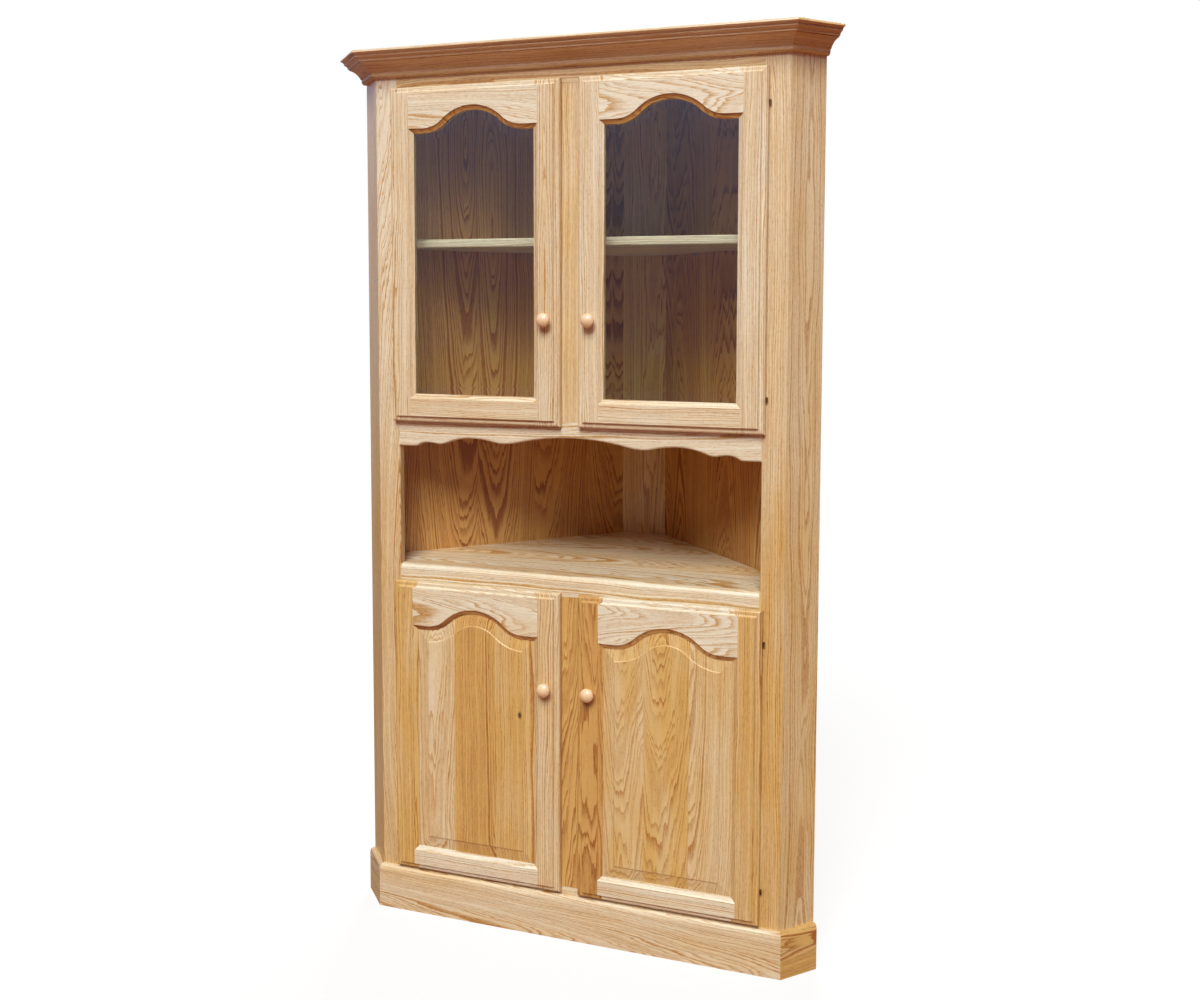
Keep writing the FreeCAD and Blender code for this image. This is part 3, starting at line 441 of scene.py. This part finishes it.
def pin_knot(tree, colour, place, centre):
    """Mixes the knot's brown into a colour, by sqrt((across / half width)^2 + (along / half height)^2)."""
    off = add(tree, VECTOR_MATH, {0: place, 1: (centre[0], 0, centre[1])}, operation="SUBTRACT")
    shape = (1 / KNOT_HALF_MM[0], 0, 1 / KNOT_HALF_MM[1])
    off = add(tree, VECTOR_MATH, {0: off, 1: shape}, operation="MULTIPLY")
    off = add(tree, VECTOR_MATH, {0: off}, operation="LENGTH").outputs["Value"]
    spot = add(tree, MAP_RANGE, {
        0: off, FROM_A: KNOT_EDGE[0], FROM_B: KNOT_EDGE[1], TO_A: KNOT_DARKNESS, TO_B: 0.0,
    }, interpolation_type="SMOOTHSTEP")
    mixed = add(tree, MIX, {0: spot, COLOUR_A: colour, COLOUR_B: linear(KNOT_COLOUR)}, data_type="RGBA")
    return mixed.outputs[MIXED]


def bare_side(tree, colour, gloss, depth, bare_mm):
    """Colour, roughness and coat, which turn to those of bare oak past a depth through the board."""
    raw = add(tree, MAP_RANGE, {0: depth, FROM_A: bare_mm, FROM_B: bare_mm + BARE_EDGE_MM})
    paler = add(tree, MATH, {0: raw, 1: BARE_SHARE}, operation="MULTIPLY")
    colour = add(tree, MIX, {0: paler, COLOUR_A: colour, COLOUR_B: linear(BARE_OAK)}, data_type="RGBA")
    gloss = add(tree, MAP_RANGE, {0: raw, TO_A: gloss, TO_B: BARE_ROUGHNESS})
    coat = add(tree, MAP_RANGE, {0: raw, TO_A: COAT_WEIGHT, TO_B: 0.0})
    return colour.outputs[MIXED], gloss, coat


print("knot:", 2 * KNOT_HALF_MM[0], "mm wide and", 2 * KNOT_HALF_MM[1], "mm tall")

# %% [markdown]
# ## One material per board
# Now a board is one call. It says how the board lies and how golden it is, and where it differs from
# plain rift-cut oak: its cut, the width of its strips and of its rings, how bold its figure is, and what
# the last cells can add. The finish is two coats of satin varnish, a thin clear coat over wood that is
# a little rougher in its open pores, so it mirrors softly and the pores stay dull.

# %% Varnished oak
# A strip wider than any board leaves the board in one piece
ONE_PIECE = 5000.0
GRAIN_DEPTH_M, GRAIN_STRENGTH = 0.0004, 0.35


def board(name, lie, tone, cut="rift", strip=ONE_PIECE, spread=0.4, figure=0.9, warm=0.0, ring=3.4,
          swirl=26.0, draw=0, knot=None, bare=None, arch_shade_below_mm=None):
    """Varnished oak for one board: its place in the log comes from its box and from a lottery on its name."""
    made, tree = new_material("varnished_oak_" + name)
    coords = add(tree, COORDINATES).outputs["Object"]
    parts = place_in_board(tree, name, coords, lie)
    place = add(tree, COMBINE, dict(enumerate(parts)))
    own_tone = tone_by_height(tree, coords, tone, warm)
    # Painted shade darkens the edge under an arch
    if arch_shade_below_mm is not None:
        own_tone = painted_arch_shade_tone(tree, own_tone, parts, arch_shade_below_mm)
    oak = add(tree, "ShaderNodeGroup", {
        "Place": place, "Tone": own_tone, "Strip": strip, "Spread": spread, "Ring": ring, "Swirl": swirl,
        "Figure": figure, **place_in_log(name, cut, draw),
    }, node_tree=wood).outputs
    colour, gloss, coat = oak["Color"], oak["Roughness"], COAT_WEIGHT
    if knot is not None:
        colour = pin_knot(tree, colour, place, knot)
    if bare is not None:
        colour, gloss, coat = bare_side(tree, colour, gloss, parts[Y], bare)
    bump = add(tree, "ShaderNodeBump", {
        "Strength": GRAIN_STRENGTH, "Distance": GRAIN_DEPTH_M, "Height": oak["Height"],
    })
    surface = add(tree, SURFACE, {
        "Base Color": colour, "Roughness": gloss, "Normal": bump, "IOR": 1.5,
        "Coat Weight": coat, "Coat Roughness": COAT_ROUGHNESS,
    })
    add(tree, OUTPUT, {"Surface": surface})
    return made


def dress(name, material):
    """Puts one material on every slot of a board."""
    slots = nodes[name].material_slots
    for slot in slots:
        slot.material = material
    if not slots:
        nodes[name].data.materials.append(material)


print("grain depth:", GRAIN_DEPTH_M * MM_PER_M, "mm")

# %% [markdown]
# ## The boards of the case
# Rails, mouldings and level boards run with their grain across, and their paler tones are painted sheen,
# the gloss that boards lying across catch from above. Uprights run with their grain up, and the stiles
# and returns are painted warmer near the floor and paler higher up, which paints sheen too. The wall
# panels and the level boards are wide, so they are drawn as strips, and the panels and the deck have a
# bold figure. The outer faces of the back and of the top are left bare.

# %% Dress the case
# Paler tones on boards lying across, and warmth low on the uprights, are painted sheen
case_boards = {
    "left_stile": dict(lie="upright", tone=0.3, cut="flat", warm=0.6),
    "right_stile": dict(lie="upright", tone=0.4, warm=0.5),
    "upper_mullion": dict(lie="upright", tone=0.5),
    "lower_mullion": dict(lie="upright", tone=1.4, cut="flat"),
    "top_rail": dict(lie="rail", tone=0.5),
    "valance_rail": dict(lie="rail", tone=-0.1, cut="flat", figure=0.8),
    "deck_rail": dict(lie="rail", tone=0.2, ring=5.0),
    "bottom_rail": dict(lie="rail", tone=0.4),
    "left_return": dict(lie="upright_left_return", tone=0.5, warm=0.4),
    "right_return": dict(lie="upright_right_return", tone=0.5, warm=0.15, figure=0.65),
    "crown_front": dict(lie="rail", tone=0.6),
    "crown_left": dict(lie="rail_left_return", tone=0.65),
    "crown_right": dict(lie="rail_right_return", tone=0.75),
    "plinth_front": dict(lie="rail", tone=0.55, cut="flat"),
    "plinth_left": dict(lie="rail_left_return", tone=0.65, cut="flat"),
    "plinth_right": dict(lie="rail_right_return", tone=1.1, cut="flat"),
    "deck_board": dict(lie="level", tone=0.15, cut="flat", strip=90.0, spread=0.9, figure=1.05, ring=5.0),
    "top_board": dict(lie="level", tone=0.6, cut="flat", strip=120.0, bare=5.0),
    "display_floor": dict(lie="level", tone=0.5, cut="flat", strip=120.0),
    "display_shelf": dict(lie="level", tone=-0.3, strip=120.0),
    "base_floor": dict(lie="level", tone=0.6, cut="flat", strip=120.0),
    "base_shelf": dict(lie="level", tone=0.5, cut="flat", strip=120.0),
    "left_wall_panel": dict(
        lie="upright_left_wall", tone=1.6, cut="flat", strip=150.0, figure=1.05, ring=5.0, bare=4.0),
    "right_wall_panel": dict(
        lie="upright_right_wall", tone=1.6, cut="flat", strip=190.0, figure=1.05, ring=4.5, bare=4.0),
    "corner_panel": dict(lie="upright", tone=1.1, bare=5.0),
    "glue_blocks": dict(lie="rail", tone=0.4),
}
for name, settings in case_boards.items():
    dress(name, board(name, **settings))
print("boards of the case:", len(case_boards))

# %% [markdown]
# ## The doors
# Each door is five boards. Its stiles are upright and its rails lie across, and their tones paint sheen
# as on the case. The arched rails are flat-cut, with wide swirling rings, and the edge under the arch is
# darker with painted shade. Each of them has a lot of its own, chosen so that no two show the same arches.

# %% Dress the frames of the doors
door_boards = {
    "hinge_stile": dict(lie="upright"),
    "latch_stile": dict(lie="upright"),
    # The arched rails get painted shade on the edge under the arch
    "arched_rail": dict(lie="rail", cut="flat", ring=4.2, swirl=40.0, figure=0.8, arch_shade_below_mm=30.0),
    "bottom_rail": dict(lie="rail", ring=4.4),
}
# Tone of the hinge stile, the latch stile, the arched rail and the bottom rail of each door
# The lower doors' stiles are more golden and the rails paler, which paints sheen
door_tones = {
    "upper_left": (0.25, 0.3, 0.1, 0.2),
    "upper_right": (0.15, 0.35, 0.05, 0.15),
    "lower_left": (0.85, 0.7, 0.0, 0.15),
    "lower_right": (0.7, 1.2, -0.15, 0.1),
}
rail_draws = {"upper_left": 1, "upper_right": 2, "lower_left": 4, "lower_right": 9}
for door, tones in door_tones.items():
    for (part, settings), tone in zip(door_boards.items(), tones):
        name = f"{door}_{part}"
        draw = rail_draws[door] if part == "arched_rail" else 0
        dress(name, board(name, tone=tone, draw=draw, **settings))
print("boards of the door frames:", len(door_tones) * len(door_boards))

# %% [markdown]
# ## Raised panels and stops
# The raised panels are glued up from narrow boards whose colours don't match, which the strips draw. The
# left one is rift-cut and has the knot, and the right one is flat-cut and shows arches. The stops that
# hold the panes from behind are plain strips of the same oak.

# %% Dress the panels and the stops
# The knot's place is in mm to the right of the panel's middle and above it
panels = {
    "left": dict(tone=1.0, spread=0.9, draw=8, figure=0.8, knot=(111.0, 61.0)),
    "right": dict(tone=0.7, spread=0.7, draw=9, figure=0.65, cut="flat"),
}
for side, settings in panels.items():
    name = f"lower_{side}_raised_panel"
    dress(name, board(name, "upright", strip=102.0, ring=3.8, **settings))
for side in ("left", "right"):
    name = f"upper_{side}_glass_stops"
    dress(name, board(name, "upright", 0.5))
oaks = [made.name for made in bpy.data.materials if made.name.startswith("varnished_oak_")]
print("materials of oak:", len(oaks))

# %% [markdown]
# ## The shape of a turned knob
# The knobs are pale hardwood, turned on a lathe. A turned shape is a profile carried round an axis, so it
# is a surface of two parameters: how far along the profile, and how far round. The profile is a smooth
# curve through a few radii, and the axis points out of the door.

# %% Knob surface
# Distance from the door and radius, in mm
KNOB_PROFILE = (
    (0.0, 9.0), (0.6, 9.3), (1.4, 8.7), (3.2, 7.4), (5.2, 7.2), (7.4, 8.6), (9.6, 11.6), (11.8, 14.2),
    (14.0, 15.4), (16.4, 15.5), (18.6, 14.7), (20.8, 12.9), (22.8, 10.2), (24.4, 7.2), (25.5, 3.8),
    (26.0, 0.0),
)
AROUND, ALONG, SMOOTHINGS = 64, 72, 6


def knob_surface(name, foot):
    """Turned knob: foot - h(u) y + r(u) (cos v x + sin v z), with u along the profile and v round it."""
    heights, radii = np.array(KNOB_PROFILE).T / MM_PER_M
    steps = np.concatenate([[0], np.cumsum(np.hypot(np.diff(heights), np.diff(radii)))])
    u = np.linspace(0, steps[-1], ALONG)
    smooth = np.stack([np.interp(u, steps, heights), np.interp(u, steps, radii)])
    # Each point moves to the mean of itself, twice, and its two neighbours
    for _ in range(SMOOTHINGS):
        smooth[:, 1:-1] = (smooth[:, :-2] + 2 * smooth[:, 1:-1] + smooth[:, 2:]) / 4
    v = np.linspace(0, 2 * np.pi, AROUND, endpoint=False)
    h, r = smooth[0][:, None], smooth[1][:, None]
    points = np.stack([foot[0] + r * np.cos(v), foot[1] - h + 0 * v, foot[2] + r * np.sin(v)], -1)[:-1]
    tip = [[foot[0], foot[1] - heights[-1], foot[2]]]
    base = [[foot[0], foot[1], foot[2]]]
    verts = np.concatenate([points.reshape(-1, 3), tip, base])
    ring = np.arange(AROUND)
    turn = np.roll(ring, -1)
    rows = np.arange(ALONG - 2)[:, None] * AROUND
    quads = np.stack([rows + ring, rows + turn, rows + AROUND + turn, rows + AROUND + ring], -1)
    quads = quads.reshape(-1, 4)
    last = (ALONG - 2) * AROUND
    tip_fan = np.stack([last + ring, last + turn, 0 * ring + len(verts) - 2], -1)
    base_fan = np.stack([turn, ring, 0 * ring + len(verts) - 1], -1)
    mesh = bpy.data.meshes.new(name)
    mesh.from_pydata(verts.tolist(), [], quads.tolist() + tip_fan.tolist() + base_fan.tolist())
    mesh.shade_smooth()
    made = bpy.data.objects.new(name, mesh)
    bpy.context.scene.collection.objects.link(made)
    return made


print("knob:", 2 * max(radius_mm for _, radius_mm in KNOB_PROFILE), "mm across")

# %% [markdown]
# ## Maple for the knobs
# Maple is close-grained and pale, so it shows faint bundles of fibres and no pores. Hands have polished
# the knobs, and they shine more than the boards. Each knob stands on the face of its latch stile, at the
# middle of the plain knob of the joinery, which it replaces.

# %% Turn and dress the knobs
# Bundles of fibres: beside the axis, along it and up, in mm
MAPLE_FIBRE_MM = (3.846, 16.667, 1.111)
MAPLE_COLOURS, MAPLE_ROUGHNESS = ("#ECC092", "#F6D8B0"), (0.26, 0.36)
maple, tree = new_material("turned_maple")
coords = add(tree, COORDINATES).outputs["Object"]
per_metre = tuple(MM_PER_M / size for size in MAPLE_FIBRE_MM)
fibres = add(tree, VECTOR_MATH, {0: coords, 1: per_metre}, operation="MULTIPLY")
grain = add(tree, NOISE, {"Vector": fibres, "Scale": 1.0, "Detail": 3.0})
ends = [linear(colour) for colour in MAPLE_COLOURS]
blush = add(tree, MIX, {0: grain, COLOUR_A: ends[0], COLOUR_B: ends[1]}, data_type="RGBA")
shine = add(tree, MAP_RANGE, {0: grain, TO_A: MAPLE_ROUGHNESS[0], TO_B: MAPLE_ROUGHNESS[1]})
surface = add(tree, SURFACE, {
    "Base Color": blush.outputs[MIXED], "Roughness": shine, "IOR": 1.5, "Coat Weight": 0.5,
    "Coat Roughness": 0.12,
})
add(tree, OUTPUT, {"Surface": surface})
for level in ("upper", "lower"):
    for side in ("left", "right"):
        name = f"{level}_{side}_knob"
        low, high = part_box(name)
        face_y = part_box(f"{level}_{side}_latch_stile")[0].y
        knob = knob_surface("turned_" + name, ((low.x + high.x) / 2, face_y, (low.z + high.z) / 2))
        knob.data.materials.append(maple)
        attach(knob, f"{level}_{side}_door")
        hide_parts(name)
        print(knob.name, "faces:", len(knob.data.polygons))

# %% [markdown]
# ## Glass
# The panes are clear soda-lime glass with a wide ground bevel. The bevel is in the solid, so plain
# refraction draws its bright and dark lines. A pane that stopped the lamps would leave the shelf behind it
# in the dark, so rays on their way to a lamp pass straight through, a little dimmed.

# %% Dress the panes
glass, tree = new_material("clear_soda_lime_glass")
pane = add(tree, SURFACE, {
    "Base Color": linear("#F4FAF7"), "Roughness": 0.0, "IOR": 1.5, "Transmission Weight": 1.0,
})
clear = add(tree, "ShaderNodeBsdfTransparent", {"Color": linear("#C6C3BF")})
to_lamp = add(tree, "ShaderNodeLightPath").outputs["Is Shadow Ray"]
shader = add(tree, MIX_SHADER, {0: to_lamp, 1: pane, 2: clear})
add(tree, OUTPUT, {"Surface": shader})
for side in ("left", "right"):
    dress(f"upper_{side}_glass", glass)
print("panes:", glass.users)

# %% [markdown]
# ## Brass on the hinges
# The hinges are steel plated in antique brass, a dark metal whose plating is rubbed unevenly. One noise
# drives both colour and gloss, because the places that are rubbed brighter are also smoother.

# %% Dress the hinges
BRASS_RUB_MM = 6.25
BRASS_COLOURS, BRASS_ROUGHNESS = ("#6A4E2E", "#AC8652"), (0.5, 0.28)
brass, tree = new_material("antique_brass_plate")
coords = add(tree, COORDINATES).outputs["Object"]
rub = add(tree, NOISE, {"Vector": coords, "Scale": MM_PER_M / BRASS_RUB_MM, "Detail": 4.0})
ends = [linear(colour) for colour in BRASS_COLOURS]
colour = add(tree, MIX, {0: rub, COLOUR_A: ends[0], COLOUR_B: ends[1]}, data_type="RGBA")
rough = add(tree, MAP_RANGE, {0: rub, TO_A: BRASS_ROUGHNESS[0], TO_B: BRASS_ROUGHNESS[1]})
surface = add(tree, SURFACE, {"Base Color": colour.outputs[MIXED], "Metallic": 1.0, "Roughness": rough})
add(tree, OUTPUT, {"Surface": surface})
for name in nodes:
    if "hinge_leaves" in name or "hinge_screws" in name:
        dress(name, brass)
print("nodes in brass:", brass.users)

# %% [markdown]
# ## Nickel on the shelf pins
# The pins under the shelves are steel with bright nickel plating, cool and even in colour. Only the gloss
# changes over a pin, with the fine marks of sliding it in and out. These are drawn 1 mm wide, which is
# coarser than they are, so that they show at all.

# %% Dress the shelf pins
NICKEL_MARK_MM, NICKEL_ROUGHNESS = 1.111, (0.2, 0.34)
nickel, tree = new_material("nickel_plated_steel")
coords = add(tree, COORDINATES).outputs["Object"]
scratch = add(tree, NOISE, {"Vector": coords, "Scale": MM_PER_M / NICKEL_MARK_MM, "Detail": 2.0})
rough = add(tree, MAP_RANGE, {0: scratch, TO_A: NICKEL_ROUGHNESS[0], TO_B: NICKEL_ROUGHNESS[1]})
surface = add(tree, SURFACE, {"Base Color": linear("#C9C4BA"), "Metallic": 1.0, "Roughness": rough})
add(tree, OUTPUT, {"Surface": surface})
dress("shelf_pins", nickel)
print("nodes in nickel:", nickel.users)

# %% [markdown]
# ## Vinyl dots behind the doors
# Soft dots of clear vinyl keep the doors from knocking on the frame. Vinyl yellows and clouds with age,
# so it lets only some light through, and its colour drifts a little over each dot.

# %% Dress the bumpers
VINYL_CLOUD_MM, VINYL_COLOURS = 2.5, ("#C8C2B2", "#E2DED2")
vinyl, tree = new_material("clear_vinyl")
coords = add(tree, COORDINATES).outputs["Object"]
haze = add(tree, NOISE, {"Vector": coords, "Scale": MM_PER_M / VINYL_CLOUD_MM, "Detail": 2.0})
ends = [linear(colour) for colour in VINYL_COLOURS]
colour = add(tree, MIX, {0: haze, COLOUR_A: ends[0], COLOUR_B: ends[1]}, data_type="RGBA")
surface = add(tree, SURFACE, {
    "Base Color": colour.outputs[MIXED], "Roughness": 0.4, "Transmission Weight": 0.3, "IOR": 1.45,
})
add(tree, OUTPUT, {"Surface": surface})
dress("door_bumpers", vinyl)
print("nodes in vinyl:", vinyl.users)

# %% [markdown]
# ## Who is looking
# A studio has to please several kinds of ray. The camera wants a white background. Gloss and glass want
# something to mirror that isn't white all round, or they would look flat. Light that bounces about
# wants a room that is darker and warmer than the backdrop, which keeps the underside of the crown in
# its own shadow. Light Path tells these rays apart, so floor and world each hold two answers: one for
# rays that look, and one for rays that only carry light.

# %% Rays that look, and rays that end on the backdrop
def looking_rays(tree):
    """Light Path, and max(camera, glossy, transmission) - diffuse bounces so far, kept within 0 and 1."""
    path = add(tree, "ShaderNodeLightPath").outputs
    looking = add(tree, MATH, {0: path["Is Camera Ray"], 1: path["Is Glossy Ray"]}, operation="MAXIMUM")
    looking = add(tree, MATH, {0: looking, 1: path["Is Transmission Ray"]}, operation="MAXIMUM")
    looking = add(tree, MATH, {0: looking, 1: path["Diffuse Depth"]}, operation="SUBTRACT", use_clamp=True)
    return path, looking


def sees_backdrop(tree, path, back, starts, ends):
    """1 for the camera, and for rays through glass where back has passed from its start to its end."""
    behind = add(tree, MAP_RANGE, {0: back, FROM_A: starts, FROM_B: ends}, interpolation_type="SMOOTHSTEP")
    behind = add(tree, MATH, {0: behind, 1: path["Is Transmission Ray"]}, operation="MULTIPLY")
    return add(tree, MATH, {0: behind, 1: path["Is Camera Ray"]}, operation="MAXIMUM")


print("rays that look: camera, glossy, transmission")

# %% [markdown]
# ## Floor
# The hutch stands on a pale floor. To the camera, and through the panes towards the back, most of it
# glows white by itself. The rest of its white is lit by the lamps, and that part keeps the hutch's
# shadow. The lit part is largest near the hutch and ends three metres out, so the floor melts into the
# backdrop. What shines mirrors a dim floor, and bounced light meets a warm brown one.

# %% Lay the floor
FLOOR_REACH_M = 30.0
FLOOR_WHITE, FLOOR_BOUNCE = "#F6F6F4", "#9E644D"
# Share of the white that glows near the hutch, and between which distances it grows to all of it
GLOW_NEAR, GLOW_SPAN_M = 0.78, (0.9, 3.0)
# How much darker reflections see the floor, and where it turns white again for rays through glass
FLOOR_DUSK, FLOOR_BACK_M = 0.78, (-1.5, -0.5)

reach = FLOOR_REACH_M
corners = [(-reach, -reach, 0), (reach, -reach, 0), (reach, reach, 0), (-reach, reach, 0)]
floor_mesh = bpy.data.meshes.new("studio_floor")
floor_mesh.from_pydata(corners, [], [(0, 1, 2, 3)])
floor = bpy.data.objects.new("studio_floor", floor_mesh)
bpy.context.scene.collection.objects.link(floor)
pale, tree = new_material("pale_studio_floor")
path, looking = looking_rays(tree)
coords = add(tree, COORDINATES).outputs["Object"]
bounce = add(tree, "ShaderNodeBsdfDiffuse", {"Color": linear(FLOOR_BOUNCE)})
white = add(tree, "ShaderNodeBsdfDiffuse", {"Color": linear(FLOOR_WHITE)})
glow = add(tree, "ShaderNodeEmission", {"Color": linear("#FFFFFF"), "Strength": 1.0})
black = add(tree, "ShaderNodeEmission", {"Strength": 0.0})
away = add(tree, VECTOR_MATH, {0: coords}, operation="LENGTH").outputs["Value"]
share = add(tree, MAP_RANGE, {
    0: away, FROM_A: GLOW_SPAN_M[0], FROM_B: GLOW_SPAN_M[1], TO_A: GLOW_NEAR, TO_B: 1.0,
}, interpolation_type="SMOOTHSTEP")
shown = add(tree, MIX_SHADER, {0: share, 1: white, 2: glow})
place = add(tree, SEPARATE, {0: coords}).outputs
beyond = sees_backdrop(tree, path, place[Y], *FLOOR_BACK_M)
dusk = add(tree, MAP_RANGE, {0: beyond, TO_A: FLOOR_DUSK, TO_B: 0.0})
shown = add(tree, MIX_SHADER, {0: dusk, 1: shown, 2: black})
shader = add(tree, MIX_SHADER, {0: looking, 1: bounce, 2: shown})
add(tree, OUTPUT, {"Surface": shader})
floor.data.materials.append(pale)
print("floor:", 2 * FLOOR_REACH_M, "m square")

# %% [markdown]
# ## World
# To the camera, and through the panes towards the back, the world is white. What shines mirrors a pale
# blue sky that is dim at the horizon and brighter overhead, which makes the panes look cool beside the
# warm oak. To bounced light the world is a faint warm glow, so the shadows in the bay stay deep and brown.

# %% Paint the world
# How far a direction points up where the sky begins to brighten and where it is brightest
SKY_BLUE, SKY_SPAN, SKY_STRENGTH = "#B4CBF2", (-0.05, 0.35), (0.3, 1.4)
AMBIENT_COLOUR, AMBIENT_STRENGTH = "#FFCFC0", 0.14
# How far a direction points back where rays through glass begin to see white and where they see only that
WORLD_BACK = (0.0, 0.3)

world = bpy.data.worlds.new("studio")
bpy.context.scene.world = world
world.use_nodes = True
tree = world.node_tree
tree.nodes.clear()
path, looking = looking_rays(tree)
heading = add(tree, SEPARATE, {0: add(tree, COORDINATES).outputs["Generated"]}).outputs
ambient = add(tree, "ShaderNodeBackground", {"Color": linear(AMBIENT_COLOUR), "Strength": AMBIENT_STRENGTH})
sky = add(tree, MAP_RANGE, {
    0: heading[Z], FROM_A: SKY_SPAN[0], FROM_B: SKY_SPAN[1], TO_A: SKY_STRENGTH[0], TO_B: SKY_STRENGTH[1],
}, interpolation_type="SMOOTHSTEP")
beyond = sees_backdrop(tree, path, heading[Y], *WORLD_BACK)
paint = add(tree, MIX, {0: beyond, COLOUR_A: linear(SKY_BLUE), COLOUR_B: linear("#FFFFFF")}, data_type="RGBA")
strength = add(tree, MIX, {0: beyond, NUMBER_A: sky, NUMBER_B: 1.0})
backdrop = add(tree, "ShaderNodeBackground", {"Color": paint.outputs[MIXED], "Strength": strength})
shader = add(tree, MIX_SHADER, {0: looking, 1: ambient, 2: backdrop})
add(tree, "ShaderNodeOutputWorld", {"Surface": shader})
print("nodes in the world:", len(tree.nodes))

# %% [markdown]
# ## Lamps
# One wide lamp hangs high and far in front, so tops are bright and the bay falls into shade. Being far
# away, it lights the crown and the plinth alike. A small lamp behind gives the outer faces of the back
# some light of their own when the hutch is seen from there. Neither shows through the panes.

# %% Hang the lamps
HUTCH_MIDDLE = (0, 0, 1.0)


def softbox(name, place, aim, size, watts, colour):
    """Square lamp at a place, turned to face a point."""
    lamp = bpy.data.lights.new(name, "AREA")
    lamp.shape, lamp.size, lamp.energy = "SQUARE", size, watts
    lamp.color = linear(colour)[:3]
    made = bpy.data.objects.new(name, lamp)
    facing = (Vector(place) - Vector(aim)).to_track_quat("Z", "Y")
    made.matrix_world = Matrix.Translation(place) @ facing.to_matrix().to_4x4()
    bpy.context.scene.collection.objects.link(made)
    made.visible_transmission = False
    return made


lamps = [
    softbox("key_lamp", (3.7, -24.6, 26.8), HUTCH_MIDDLE, size=17.0, watts=15400.0, colour="#F9FEFC"),
    softbox("back_lamp", (-1.2, 5.5, 4.5), HUTCH_MIDDLE, size=3.0, watts=260.0, colour="#FBFCFF"),
]
print("lamps:", ", ".join(lamp.name for lamp in lamps))

# %% [markdown]
# ## Camera
# The picture was taken from the right, a little above the middle, with the top of the frame cropped, so
# the lens axis isn't in the middle of the picture. The camera's three directions are written out from its
# bearing, its dip and its roll, and the crop becomes a small shift.

# %% Camera
BEARING, DIP, ROLL = math.radians(17.916), math.radians(3.905), math.radians(0.287)
PICTURE = (1200, 1000)
FOCAL_PX, CENTRE_PX = 1131.83, (642.04, 387.44)
EYE = Vector((0.9025, -2.5260, 1.4087))
SENSOR_MM, VIEW_END_M = 36.0, 100.0

ahead = Vector((-math.sin(BEARING) * math.cos(DIP), math.cos(BEARING) * math.cos(DIP), -math.sin(DIP)))
right = Vector((math.cos(BEARING), math.sin(BEARING), 0))
up = right.cross(ahead)
turned_right = right * math.cos(ROLL) + up * math.sin(ROLL)
turned_up = up * math.cos(ROLL) - right * math.sin(ROLL)
facing = Matrix((turned_right, turned_up, -ahead)).transposed()
view = bpy.data.cameras.new("camera")
view.sensor_fit, view.sensor_width = "HORIZONTAL", SENSOR_MM
view.lens = FOCAL_PX / PICTURE[0] * SENSOR_MM
view.shift_x = (PICTURE[0] / 2 - CENTRE_PX[0]) / PICTURE[0]
view.shift_y = (CENTRE_PX[1] - PICTURE[1] / 2) / PICTURE[0]
view.clip_end = VIEW_END_M
camera = bpy.data.objects.new("camera", view)
camera.matrix_world = Matrix.Translation(EYE) @ facing.to_4x4()
bpy.context.scene.collection.objects.link(camera)
bpy.context.scene.camera = camera
bpy.context.scene.view_settings.view_transform = "Standard"
print("lens:", round(view.lens, 2), "mm")
